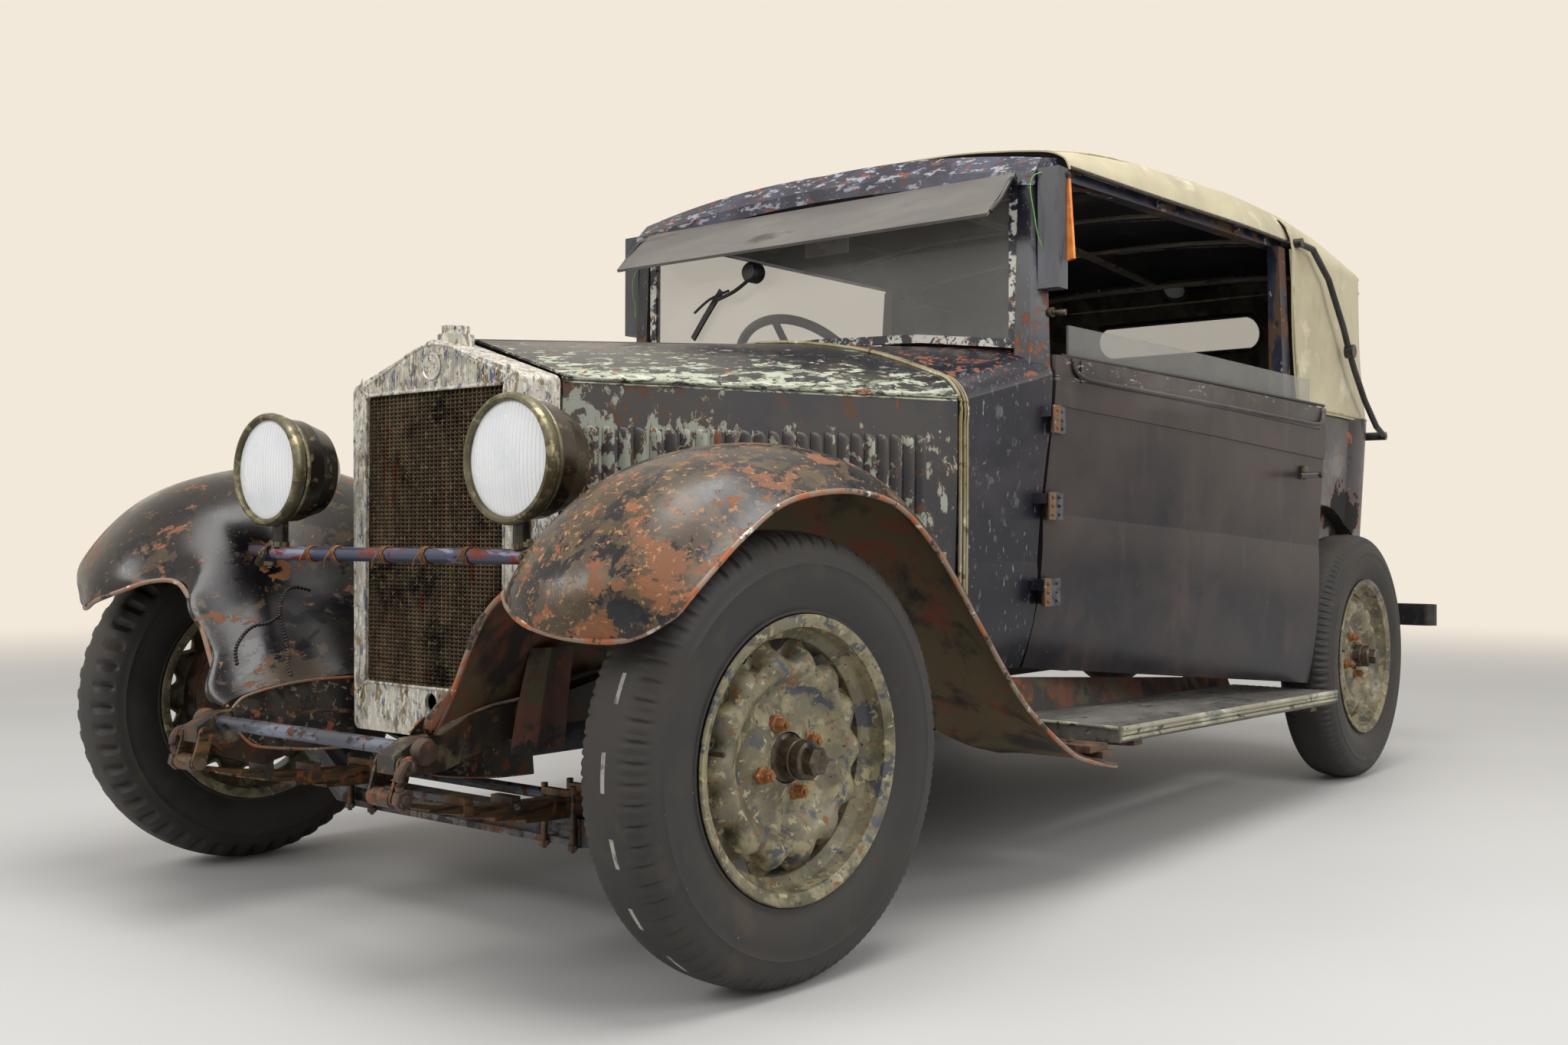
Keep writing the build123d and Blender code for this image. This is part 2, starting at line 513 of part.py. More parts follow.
def belt_panel():
    """The upper part of the door's skin stands 4 mm proud, from a swage up to a raised moulding under the belt."""
    panel, moulding = [], []
    for x in (DOOR_FRONT - 1, -1700, DOOR_REAR + 1):
        t, y = (x - DOOR_FRONT) / (DOOR_REAR - DOOR_FRONT), belt_y(x)
        swage, line = lerp(980, 912, t), belt_z(x) - lerp(44, 54, t)
        lean = 12 * (belt_z(x) - swage) / (0.25 * (belt_z(x) - lerp(405, 306, t)))
        panel.append(Wire.make_polygon([Vector(x, y - lean - 8, swage), Vector(x, y - lean + 4, swage + 3),
                                        Vector(x, y + 0.5, line), Vector(x, y - 8, line + 4)], close=True))
    for x in (DOOR_FRONT - 90, -1700, DOOR_REAR + 40):
        t, y = (x - DOOR_FRONT) / (DOOR_REAR - DOOR_FRONT), belt_y(x)
        z = belt_z(x) - lerp(44, 54, t)
        moulding.append(Wire.make_polygon([Vector(x, y - 8, z - 9), Vector(x, y + 4, z - 5), Vector(x, y + 4, z + 5),
                                           Vector(x, y - 8, z + 9)], close=True))
    x, y, z = DOOR_FRONT - 90, belt_y(DOOR_FRONT - 90), belt_z(DOOR_FRONT - 90) - 44
    turn = rod((x, y - 8, z), (x, y + 3.6, z), 9) + block(x - 7, x + 7, y - 8, y + 3, z, z + 40)
    return skin(panel) + skin(moulding) + turn


def door_glass():
    return skin([Wire.make_polygon([Vector(x, belt_y(x) + o, z) for o, z in ((-22, 970), (-16, 970), (-16, belt_z(x) + 74), (-22, belt_z(x) + 74))], close=True)
                 for x in (DOOR_FRONT - 64, -1700, DOOR_REAR + 64)])


def handle():
    x = DOOR_REAR + 114
    y, z = belt_y(x), 868
    return rod((x, y - 20, z), (x, y + 46, z), 8) + rod((x - 14, y + 34, z), (x + 96, y + 28, z - 6), 7)


def hinge_knuckles(lo, hi):
    """Barrel lengths along the hinge line, from lo to hi mm about each hinge."""
    p, q = Vector(*HINGE_P), Vector(*HINGE_Q)
    d = (q - p).normalized()
    out = []
    for s in (0, 0.5, 1):
        m = p + (q - p) * s
        out.append(rod(tuple(m + d * lo), tuple(m + d * hi), 9))
    return out


def door_hardware():
    out = []
    for k, (z, t) in zip(hinge_knuckles(-28, 0), ((560, 0), (748, 0), (936, 0))):
        y = 618 + (z - 575) * 22 / 375.0
        out.append(k + block(-1140, -1090, y - 34, y - 4, z - 12, z + 12))
    return out


axis = (Vector(*HINGE_Q) - Vector(*HINGE_P)).normalized()
LINE = Axis(HINGE_P, (0, -axis.Y, -axis.Z))
d = door() + handle()
for h in door_hardware():
    d += h
parts["door_right"] = mirrored(d)
parts["door_left"] = d.rotate(LINE, DOOR_AJAR)
parts["door_glass_right"] = mirrored(door_glass())
parts["door_glass_left"] = door_glass().rotate(LINE, DOOR_AJAR)
hinges = []
for k, z in zip(hinge_knuckles(0.1, 28), (589, 777, 965)):
    y = 618 + (z - 575) * 22 / 375.0
    hinges.append(k + block(-1092, -1060, y - 34, y + 6, z - 10, z + 12))
for h in hinges:
    scuttle = scuttle + h + mirrored(h)
parts["scuttle"] = scuttle

# Rear body: U shapes in plan, belt level and lower level

U_BELT = [(352, 699), (82, 698), (-218, 690), (-438, 660), (-528, 520), (-554, 260), (-562, 0)]
U_LOW = [(352, 663), (82, 662), (-218, 656), (-418, 622), (-498, 490), (-522, 250), (-528, 0)]


def u_shape(row):
    """Both sides of a plan outline given from the rear axle back."""
    row = [(REAR + x, y) for x, y in row]
    return row + [(x, -y) for x, y in reversed(row[:-1])]


rear = skin([band(u_shape(U_LOW), 26, at_z(300)), band(u_shape(U_BELT), 26, at_z(1048))])
rear -= rod((REAR, -900, 352), (REAR, 900, 352), 440)
rear_cut = prism_y([(REAR + x, z) for x, z in ((0, 250), (0, 620), (-308, 700), (-758, 700), (-758, 250))], -900, 900)
rear -= rear_cut
house = rod((REAR, 634, 352), (REAR, 676, 352), 446) - rod((REAR, 640, 352), (REAR, 700, 352), 440)
house -= block(REAR - 1300, REAR + 700, 500, 800, -200, 470) + block(REAR + 350, REAR + 700, 500, 800, 0, 900)
house -= rear
rear = rear + house + mirrored(house) + skin([band(u_shape(U_BELT), 30, at_z(1048)), band(u_shape(U_BELT), 30, at_z(1062))])
parts["rear_body"] = rear

# Posts and top frame

post = Solid.make_loft([Wire.make_polygon([Vector(x, y, z) for x, y in rows], close=True) for z, rows in (
    (1062.2, [(REAR + 332, 650), (REAR + 332, 692), (REAR + 272, 692), (REAR + 272, 650)]),
    (1514, [(REAR + 320, 640), (REAR + 320, 672), (REAR + 272, 672), (REAR + 272, 640)]))], ruled=True)
cants = skin([Wire.make_polygon([Vector(x, y + a, z + b) for a, b in ((-18, -16), (18, -16), (18, 12), (-18, 12))], close=True)
             for x, y, z in ((-1180.3, 588, 1512), (REAR + 256, 636, 1531))])
ROOF = [(-1180.4, 1598, 1590, 1556, 622), (-1700, 1612, 1602, 1560, 650), (REAR + 262, 1616, 1606, 1568, 672),
        (REAR - 158, 1592, 1580, 1540, 672), (REAR - 398, 1552, 1544, 1508, 660)]


def roof_row(x, zc, zm, ze, yw):
    half = [(0, zc), (yw * 0.5, zm + (zc - zm) * 0.4), (yw * 0.86, ze + 16), (yw * 0.97, ze - 8), (yw, ze - 40)]
    return whole(half)


bows = []
for x in (REAR + 1002, REAR + 562, REAR + 122, REAR - 318):
    for p, q in zip(ROOF, ROOF[1:]):
        if q[0] <= x <= p[0]:
            t = (x - p[0]) / (q[0] - p[0])
            row = offset_row(roof_row(*[lerp(a, b, t) for a, b in zip(p, q)]), -6)
            bow = Solid.extrude(Face(band(row, -16, at_x(x - 14))), Vector(28, 0, 0))
            bows.append(bow)
roof = skin([band(roof_row(*r), -4, at_x(r[0])) for r in ROOF])
frame = post + cants
frame = frame + mirrored(frame)
for b in bows:
    frame = frame + b
parts["top_frame"] = frame - roof
UC_TOP = [(266, 676), (82, 678), (-218, 674), (-358, 650), (-410, 520), (-424, 260), (-428, 0)]
UC_BELT = [(266, 704), (82, 703), (-218, 695), (-443, 664), (-533, 522), (-559, 262), (-567, 0)]
curtain = skin([band(u_shape(UC_BELT), 4, at_z(1062.3)), band(u_shape(UC_TOP), 4, at_z(1512))])
window = block(REAR - 658, REAR - 358, -268, 268, 1350, 1480)
for side in (1, -1):
    window += rod((REAR - 658, side * 268, 1415), (REAR - 358, side * 268, 1415), 65)
parts["canvas_roof"] = roof
parts["canvas_curtain"] = curtain - window - roof

IRON = [(242, 702, 1530), (165, 714, 1522), (51, 720, 1451), (-67, 724, 1322), (-118, 725, 1252), (-160, 726, 1204),
        (-260, 724, 1120), (-380, 722, 1046), (-458, 722, 1020)]
iron = pipe([(REAR + x, y, z) for x, y, z in IRON], 9)
iron += rod((REAR + 242, 674, 1530), (REAR + 242, 712, 1530), 13) + rod((REAR - 118, 714, 1256), (REAR - 118, 740, 1256), 20)
iron += rod((REAR - 458, 634, 1020), (REAR - 458, 728, 1020), 13)
parts["landau_irons"] = both(iron - rear - curtain - roof)

# Floor, seats and controls

step = REAR + 356
floor = prism_z([(-880, 500), (-1100, 520), (step, 520), (step, -520), (-1100, -520), (-880, -500)], 452.2, 470)
floor += block(step - 14, step, -520, 520, 452.2, 618) + block(step - 14, step, -630, 630, 600, 618)
floor += block(REAR - 478, step - 4, -560, 560, 600, 618) + block(REAR - 358, step - 4, -633.8, 633.8, 600, 618)
floor = floor - block(-1300, -870, -120, 120, 440, 480)
floor += block(-1310, -880, -130, 130, 452.2, 590) - block(-1300, -860, -120, 120, 400, 580)
parts["floor"] = floor


def seat(x, y, width, floor_z, cushion, depth, high):
    """A cushion with a leaning back, rounded at its edges; x is the cushion's front."""
    base = fillet(block(x - depth, x, y - width, y + width, floor_z, cushion).edges(), 28)
    back = prism_y([(x - depth + 40, floor_z), (x - depth - 50, high), (x - depth - 150, high), (x - depth - 90, floor_z)],
                   y - width, y + width)
    return base + fillet(back.edges(), 24)


parts["seats"] = [seat(-1420, s * 300, 225, 470.2, 690, 490, 1060) for s in (1, -1)] + [
    seat(REAR + 222, 0, 430, 618.2, 810, 460, 1150)]
parts["dashboard"] = prism_x([(-560, 1000), (560, 1000), (540, 1080), (0, 1118), (-540, 1080)], -1128, -1088.2)

COL_T = math.radians(40)
COL = Vector(-math.cos(COL_T), 0, math.sin(COL_T))
WC = Vector(-1444, -330, 1123)
foot = WC - COL * 728.2
parts["steering_column"] = rod(tuple(foot), tuple(WC - COL * 20.2), 19)
sw = Plane(origin=WC, z_dir=COL) * (Torus(205, 13) + Cylinder(30, 40) + Box(400, 18, 10) + Box(18, 400, 10))
parts["steering_wheel"] = sw
parts["floor_levers"] = [rod((-1330, -60, 471.7), (-1370, -60, 760), 8) + Pos(-1370, -60, 770) * Sphere(20)]

# Rear bumper

back = REAR - 813
bump = block(back, back + 8, -760, 760, 405, 475) + block(back + 55, back + 63, -760, 760, 405, 475)
for side in (1, -1):
    x, y = back + 31.5, side * 760
    loop = rod((x, y, 405), (x, y, 475), 31.5) - rod((x, y, 400), (x, y, 480), 23.5)
    bump += loop - block(back - 5, back + 75, y - (40 if side > 0 else 0), y + (0 if side > 0 else 40), 400, 480)
    bump += block(back + 63, REAR - 598, side * 424 - 20, side * 424 + 20, 405, 445)
parts["rear_bumper"] = bump


# Everything moves forward together, so that the origin is under the middle of the whole car

os.makedirs("parts", exist_ok=True)
for name, item in parts.items():
    solids = []
    for one in (item if isinstance(item, list) else [item]):
        solids += list((Pos(ROW_SHIFT, 0, 0) * one).solids())
    shape = solids[0] if len(solids) == 1 else Compound(children=solids)
    shape.label = name
    export_step(shape, "parts/" + name + ".step")
    box = shape.bounding_box()
    print("%-24s %2d solids  %9.1f cm3  x %6.0f %6.0f  y %5.0f %5.0f  z %5.0f %5.0f" % (
        name, len(solids), sum(s.volume for s in solids) / 1000, box.min.X, box.max.X, box.min.Y, box.max.Y, box.min.Z, box.max.Z))
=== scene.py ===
import bpy
import bmesh
import math
from functools import reduce
from statistics import NormalDist
from mathutils import Matrix, Vector, noise
from mathutils.bvhtree import BVHTree


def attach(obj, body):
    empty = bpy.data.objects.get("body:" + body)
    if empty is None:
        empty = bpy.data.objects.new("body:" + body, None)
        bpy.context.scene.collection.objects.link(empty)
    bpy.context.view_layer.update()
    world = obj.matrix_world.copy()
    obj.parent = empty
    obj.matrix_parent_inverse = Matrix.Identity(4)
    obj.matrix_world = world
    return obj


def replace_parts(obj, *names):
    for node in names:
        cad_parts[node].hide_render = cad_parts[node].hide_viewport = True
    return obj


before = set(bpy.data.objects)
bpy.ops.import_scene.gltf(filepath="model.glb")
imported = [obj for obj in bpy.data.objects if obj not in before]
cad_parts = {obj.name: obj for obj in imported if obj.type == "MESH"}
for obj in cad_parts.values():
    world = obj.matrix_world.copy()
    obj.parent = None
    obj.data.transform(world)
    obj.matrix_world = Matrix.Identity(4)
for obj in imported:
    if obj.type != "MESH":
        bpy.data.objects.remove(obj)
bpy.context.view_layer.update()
ROW = 1.524          # the front axle's X in this frame; the tables below are in mm from the axle
SIDES = (("left", 1), ("right", -1))


def P(x, y, z):
    """A point of the car, mm from the middle of the front axle's line on the floor, in this frame's metres."""
    return Vector((x / 1000 + ROW, y / 1000, z / 1000))


# Nodes and materials

def linear(hexa):
    """An sRGB hex colour as linear RGBA."""
    part = [int(hexa[i:i + 2], 16) / 255 for i in (1, 3, 5)]
    return [((v + 0.055) / 1.055) ** 2.4 if v > 0.04045 else v / 12.92 for v in part] + [1.0]


def feed(tree, socket, value):
    """Links an input to another node's socket, or sets it to a value."""
    if isinstance(value, bpy.types.NodeSocket):
        tree.links.new(value, socket)
    else:
        socket.default_value = value


def node(tree, kind, inputs=None, **settings):
    """Adds a node with its settings and its inputs, each a socket or a value."""
    n = tree.nodes.new(kind)
    for key, value in settings.items():
        setattr(n, key, value)
    for key, value in (inputs or {}).items():
        feed(tree, n.inputs[key], value)
    return n


def calc(tree, operation, *values):
    """One step of arithmetic on numbers."""
    return node(tree, "ShaderNodeMath", dict(enumerate(values)), operation=operation).outputs[0]


def on_points(tree, operation, *values, out=0):
    """One step of arithmetic on points. Its result is a point, or with out=1 a number."""
    return node(tree, "ShaderNodeVectorMath", dict(enumerate(values)), operation=operation).outputs[out]


def ramp(tree, value, low, high, top=1.0):
    """0 at low, rising evenly to top at high, and level beyond both."""
    return node(tree, "ShaderNodeMapRange", {0: value, 1: low, 2: high, 3: 0.0, 4: top}).outputs[0]


def apart(tree, point):
    """A point's three coordinates."""
    return node(tree, "ShaderNodeSeparateXYZ", {0: point}).outputs


def mix(tree, fac, a, b, colour=False):
    """Blends two numbers or two colours."""
    if colour:
        n = node(tree, "ShaderNodeMix", {0: fac, 6: a, 7: b}, data_type="RGBA")
        return n.outputs[2]
    n = node(tree, "ShaderNodeMix", {0: fac, 2: a, 3: b}, data_type="FLOAT")
    return n.outputs[0]


def mask_of(t, place, layer):
    """The share, 0 to 1, of a layer at each point: patches of its size, kept to the region it names."""
    size, low, high = layer["size"], layer["low"], layer["high"]
    seed, kind = layer.get("seed", 0), layer.get("kind")
    at = node(t, "ShaderNodeMapping", {"Vector": place, "Location": (seed * 1.7, seed * 0.9, seed * 2.3),
                                       "Scale": [1 / s for s in layer.get("stretch", (1, 1, 1))]}).outputs[0]
    if kind == "specks":
        few = layer.get("few", 0.5)
        cells = node(t, "ShaderNodeTexVoronoi", {"Vector": at, "Scale": 1000 / size, "Randomness": 1.0})
        pick = node(t, "ShaderNodeTexNoise", {"Vector": at, "Scale": 180 / size, "Detail": 2.0}).outputs[0]
        fac = calc(t, "MULTIPLY", ramp(t, cells.outputs["Distance"], high, low), ramp(t, pick, few, few + 0.05))
    elif kind == "stripes":
        # Stripes: lines at a pitch, used for the painted shade of the lens flutes.
        turn = calc(t, "MULTIPLY", apart(t, place)[layer["axis"]], math.pi * 1000 / size)
        fac = ramp(t, calc(t, "ABSOLUTE", calc(t, "SINE", turn)), high, low)
    else:
        fac = node(t, "ShaderNodeTexNoise", {"Vector": at, "Scale": 1000 / size, "Detail": layer.get("detail", 9.0),
                                             "Roughness": layer.get("ragged", 0.62), "Distortion": 0.3}).outputs[0]
        for axis, a, b, push in layer.get("near", ()):
            fac = calc(t, "ADD", fac, ramp(t, apart(t, place)[axis], a, b, push))
        for *spot, radius, push in layer.get("spots", ()):
            far = on_points(t, "DISTANCE", place, spot, out=1)
            fac = calc(t, "ADD", fac, ramp(t, far, radius, 0.0, push))
        fac = ramp(t, fac, low, high)
    for axis, a, b in layer.get("where", ()):
        fac = calc(t, "MULTIPLY", fac, ramp(t, apart(t, place)[axis], a, b))
    for middle in layer.get("inside", ()):
        fac = calc(t, "MULTIPLY", fac, facing_in(t, place, middle))
    if "amount" in layer:
        fac = calc(t, "MULTIPLY", fac, layer["amount"])
    return fac


def facing_in(t, place, middle):
    """1 where a face looks towards a middle point, which is mirrored to the right side, and 0 elsewhere."""
    at, look = apart(t, place), apart(t, node(t, "ShaderNodeTexCoord").outputs["Normal"])
    folded = node(t, "ShaderNodeCombineXYZ", {0: at[0], 1: calc(t, "ABSOLUTE", at[1]), 2: at[2]}).outputs[0]
    out = calc(t, "MULTIPLY", look[1], calc(t, "SIGN", at[1]))
    turned = node(t, "ShaderNodeCombineXYZ", {0: look[0], 1: out, 2: look[2]}).outputs[0]
    dot = on_points(t, "DOT_PRODUCT", on_points(t, "SUBTRACT", folded, middle), turned, out=1)
    return ramp(t, dot, 0.005, -0.015)


def finish(name, colour, rough, layers=(), metal=0.0, grain=(), **sockets):
    """A surface built up in layers: the base coat, then each layer laid over it in patches; most are wear, and some are
    painted light and shade.
    grain rows are (size mm, depth mm) of fine unevenness, and its stretch along the three axes where it has one."""
    m = bpy.data.materials.new(name)
    m.use_nodes = True
    t = m.node_tree
    shader = t.nodes["Principled BSDF"]
    place = node(t, "ShaderNodeTexCoord").outputs["Object"]
    hue, gloss, ore, heights = linear(colour), rough, metal, []
    for layer in layers:
        fac = mask_of(t, place, layer)
        hue = mix(t, fac, hue, linear(layer["colour"]), colour=True)
        if "rough" in layer:
            gloss = mix(t, fac, gloss, layer["rough"])
        if "metal" in layer:
            ore = mix(t, fac, ore, layer["metal"])
        if "raised" in layer:
            heights.append(calc(t, "MULTIPLY", fac, layer["raised"]))
    for size, depth, *stretch in grain:
        at = node(t, "ShaderNodeMapping", {"Vector": place, "Scale": [1 / s for s in stretch or (1, 1,
            1)]}).outputs[0]
        cloud = node(t, "ShaderNodeTexNoise", {"Vector": at, "Scale": 1000 / size, "Detail": 4.0}).outputs[0]
        heights.append(calc(t, "MULTIPLY", cloud, depth))
    for socket, value in (("Base Color", hue), ("Roughness", gloss), ("Metallic", ore)):
        feed(t, shader.inputs[socket], value)
    if heights:
        height = reduce(lambda a, b: calc(t, "ADD", a, b), heights)
        bump = node(t, "ShaderNodeBump", {"Height": height, "Distance": 0.001, "Strength": 1.0})
        feed(t, shader.inputs["Normal"], bump.outputs[0])
    for key, value in sockets.items():
        shader.inputs[key.replace("_", " ")].default_value = value
    return m


def bar_of(share):
    """The value that this share of the cloud texture lies above: it spreads 0.066 about 0.5."""
    return 0.5 + 0.066 * NormalDist().inv_cdf(1 - share)


def patches(colour, size, share, soft=0.05, **more):
    """A layer that covers this share of the surface in clouds of its size in mm, with an edge this soft."""
    return dict(colour=colour, size=size, low=bar_of(share) - soft / 2, high=bar_of(share) + soft / 2, **more)


RUST = "#7F4A2C"
HARD = 0.014          # the edge of a flake of paint
NOSE = ((0, ROW - 0.42, ROW + 0.34, 0.035), (1, -0.3, 0.3, 0.05))      # more wear at the nose, and on the left
INSIDE_FENDER = ((ROW, 0.65, 0.4),)              # inner faces look towards the wheel's middle

# Cellulose lacquer on steel, near black with a blue cast, dulled and hazed with age: a soft broad gloss.
door_lacquer = finish("aged_lacquer_door_and_painted_light", "#262124", 0.27, (
    patches("#352D2D", 620, 0.5, 0.26, rough=0.33, detail=3),
    # These layers are graded with height: the dark one lower down is painted shade, and the lighter one above it and
    # the grey band along the top are painted light from above.
    patches("#1B1A22", 420, 0.35, 0.2, rough=0.24, detail=3, seed=2, near=((2, 0.85, 0.5, 0.05),)),
    patches("#453A37", 360, 0.16, 0.2, rough=0.4, detail=4, near=((2, 0.7, 0.95, 0.05),), amount=0.6),
    patches("#54433C", 90, 0.05, 0.1, stretch=(1, 1, 5), seed=3, amount=0.35),
    patches("#6A6562", 420, 0.3, 0.16, rough=0.46, seed=8, detail=5, where=((2, 0.985, 1.02),), amount=0.45),
    patches("#A7A39B", 12, 0.04, HARD, stretch=(4, 4, 1), rough=0.6, seed=6, where=((2, 1.035, 1.045),), amount=0.7),
    dict(kind="specks", colour=RUST, size=14, low=0.05, high=0.16, few=0.61, rough=0.8, raised=-0.15),
    dict(kind="specks", colour="#77736F", size=22, low=0.03, high=0.07, few=0.62, rough=0.6, seed=4),
), grain=((60, 0.25), (3, 0.03)))
# The same lacquer on the cowl, scratched and chipped to bare specks, with rust where water stands under the screen.
cowl_lacquer = finish("aged_lacquer_cowl", "#191B26", 0.28, (
    patches("#2B2930", 300, 0.4, 0.14, rough=0.38, detail=4),
    patches("#5E6068", 22, 0.03, 0.05, stretch=(1, 1, 2.0), seed=2, rough=0.5, amount=0.6),
    patches("#8C8E90", 9, 0.012, HARD, stretch=(1, 1, 3.5), seed=8, rough=0.55, amount=0.7),
    patches(RUST, 36, 0.09, 0.03, rough=0.8, raised=-0.2, seed=3, where=((2, 1.00, 1.05), (2, 1.3, 1.16)),
        amount=0.9),
    patches("#8C5334", 16, 0.06, HARD, rough=0.8, seed=5, where=((2, 1.02, 1.06), (2, 1.26, 1.14)), amount=0.9),
    dict(kind="specks", colour="#A6A49D", size=11, low=0.05, high=0.14, few=0.6, rough=0.6, seed=4),
), grain=((60, 0.25),))
# Rear quarters: the lacquer has gone chalky over grey primer, and behind the left door the sheet has rusted through.
RUSTED_THROUGH = ((ROW - 2.78, 0.685, 0.79, 0.11, 0.42), (ROW - 2.9, 0.69, 0.78, 0.1, 0.42),
    (ROW - 2.86, 0.65, 0.73, 0.09, 0.42))
rear_lacquer = finish("weathered_primer_tail_and_hole_shade", "#3C3B3F", 0.46, (
    patches("#77736F", 220, 0.32, 0.12, rough=0.6, detail=6),
    patches("#23212A", 180, 0.35, 0.1, rough=0.34, seed=2),
    patches("#8E5A3A", 40, 0.05, HARD, rough=0.85, raised=-0.3, seed=3, near=((2, 0.8, 0.55, 0.05),)),
    patches("#6B4630", 50, 0.002, HARD, rough=0.85, seed=11, spots=RUSTED_THROUGH),
    # The near-black in the rusted-through spots is painted shade: the dark inside seen through the hole.
    patches("#0B0A0A", 50, 0.0004, HARD, rough=0.9, raised=-1.0, seed=11, spots=RUSTED_THROUGH),
), grain=((60, 0.3),))
# Bonnet top: black lacquer flaking off sage primer along its lower edge, in streaks that run with the car.
bonnet_top_lacquer = finish("flaked_lacquer_bonnet", "#222228", 0.26, (
    patches("#38352F", 200, 0.4, 0.14, rough=0.38, detail=4),
    patches("#A9AD97", 20, 0.008, HARD, stretch=(3.4, 1.4, 0.62), rough=0.62, raised=-0.18, ragged=0.7,
            near=((2, 1.085, 0.985, 0.185),)),
    patches("#C9CAB4", 24, 0.3, 0.05, stretch=(4, 1.4, 0.5), rough=0.6, seed=12, where=((2, 1.0, 0.985),)),
    patches("#7E8170", 16, 0.02, HARD, stretch=(3, 1.4, 0.7), rough=0.6, raised=-0.1, seed=7,
        near=((2, 1.1, 1.0, 0.06),)),
    patches("#2A2A2C", 14, 0.1, HARD, stretch=(3, 1.2, 0.7), rough=0.3, seed=9),
    patches(RUST, 26, 0.012, HARD, stretch=(3, 1, 1), rough=0.85, seed=3),
), grain=((80, 0.4),))
# Bonnet sides: flat dark grey, flaked to pale primer at the front louvres and their tops, with rust round the flakes.
FLAKED = ((0, ROW - 0.42, ROW - 0.12, 0.07), (2, 0.925, 0.895, 0.09), (2, 0.82, 0.885, 0.02))
bonnet_side_lacquer = finish("flaked_lacquer_bonnet_side", "#2A2A2F", 0.42, (
    patches("#383534", 200, 0.4, 0.12, rough=0.5, detail=4),
    patches("#59402F", 62, 0.02, 0.03, rough=0.8, seed=6, near=((0, ROW - 0.25, ROW - 0.05, 0.09), (2, 0.9, 0.965,
        0.03))),
    patches("#644430", 42, 0.013, HARD, stretch=(1, 1, 1.5), rough=0.8, ragged=0.7, seed=1, near=FLAKED),
    patches("#969A8C", 42, 0.007, HARD, stretch=(1, 1, 1.5), rough=0.64, raised=-0.2, ragged=0.7, seed=1,
        near=FLAKED),
    patches("#74482D", 16, 0.01, HARD, stretch=(0.8, 0.8, 3.0), rough=0.85, raised=-0.15, seed=3,
            near=((0, ROW - 0.45, ROW - 0.05, 0.025), (2, 0.95, 0.89, 0.02))),
    dict(kind="specks", colour="#A9AEA2", size=19, low=0.08, high=0.2, few=0.6, rough=0.6, seed=4),
), grain=((60, 0.3),))
# Front fenders: lacquer worn through to brown-stained steel, orange where it rusts, polished black where it holds.
fender_lacquer = finish("rusted_lacquer_fender", "#171519", 0.24, (
    patches("#201B1A", 240, 0.5, 0.12, rough=0.3, detail=5),
    patches("#7D5032", 100, 0.042, HARD, rough=0.66, raised=-0.12, seed=2, stretch=(1.8, 1, 1), ragged=0.68,
        near=NOSE),
    patches("#453829", 120, 0.08, 0.02, rough=0.34, seed=2, stretch=(1.8, 1, 1), ragged=0.68, near=NOSE),
    patches("#53442F", 50, 0.015, 0.05, rough=0.34, seed=9, near=NOSE),
    patches("#8A5535", 30, 0.005, HARD, rough=0.7, raised=-0.1, seed=3, stretch=(1.7, 1, 1), ragged=0.72, near=NOSE),
    patches("#A87A50", 12, 0.004, HARD, rough=0.7, seed=11, ragged=0.7, near=NOSE),
    patches("#A06A48", 60, 0.0005, HARD, rough=0.7, seed=12, spots=((ROW + 0.152, -0.425, 0.642, 0.1, 0.26),)),
    patches("#17161A", 60, 0.16, HARD, rough=0.18, seed=5, stretch=(2.2, 1, 1), ragged=0.7),
    dict(kind="specks", colour="#A39A8A", size=12, low=0.04, high=0.12, few=0.6, rough=0.5, seed=4),
    patches("#74432F", 150, 0.999, rough=0.6, inside=INSIDE_FENDER),
    patches("#5E5138", 90, 0.25, 0.1, rough=0.7, seed=6, near=((0, ROW + 0.1, ROW - 0.45, 0.12),),
        inside=INSIDE_FENDER),
    patches("#2B2320", 110, 0.2, 0.12, rough=0.6, seed=7, inside=INSIDE_FENDER),
), grain=((70, 0.5), (5, 0.04)))
apron_paint = finish("red_lead_apron", "#4A3029", 0.58, (
    patches("#6B4335", 160, 0.3, 0.12, detail=6),
    patches("#574F3B", 110, 0.2, 0.06, seed=2, rough=0.7),
    patches("#231F1F", 120, 0.3, 0.06, seed=3, rough=0.5),
    patches(RUST, 40, 0.04, 0.03, seed=4, rough=0.85),
), grain=((50, 0.5), (4, 0.08)))
# Radiator shell: once plated, now cream undercoat flaking off dark blue in upright streaks; the mid-blue streaks are
# painted reflection.
shell_plate = finish("flaked_plating_shell_and_painted_reflection", "#B2AD9F", 0.34, (
    patches("#CFC9B9", 26, 0.42, 0.03, rough=0.36, stretch=(1, 1, 2)),
    patches("#8A7A5C", 20, 0.14, 0.03, rough=0.55, seed=4, stretch=(1, 1, 2.4)),
    patches("#6B748A", 14, 0.13, HARD, stretch=(1, 1, 2.6), rough=0.36, raised=-0.12, ragged=0.7, seed=2),
    patches("#33343B", 9, 0.05, HARD, stretch=(1, 1, 2.0), rough=0.42, raised=-0.1, ragged=0.7, seed=3),
    patches("#E4DFD2", 9, 0.14, HARD, stretch=(1, 1, 2.6), rough=0.34, seed=8),
), grain=((14, 0.15),))
core_bronze = finish("tarnished_bronze_core", "#685B4A", 0.36, (
    patches("#8A7860", 90, 0.35, 0.12, stretch=(1, 0.6, 4), rough=0.36),
    patches("#2F2722", 120, 0.2, 0.1, seed=2),
    patches("#9A8768", 12, 0.1, 0.05, seed=3, rough=0.33),
    patches("#7B4334", 40, 0.04, 0.03, stretch=(1, 0.5, 3), seed=5),
), metal=0.35)
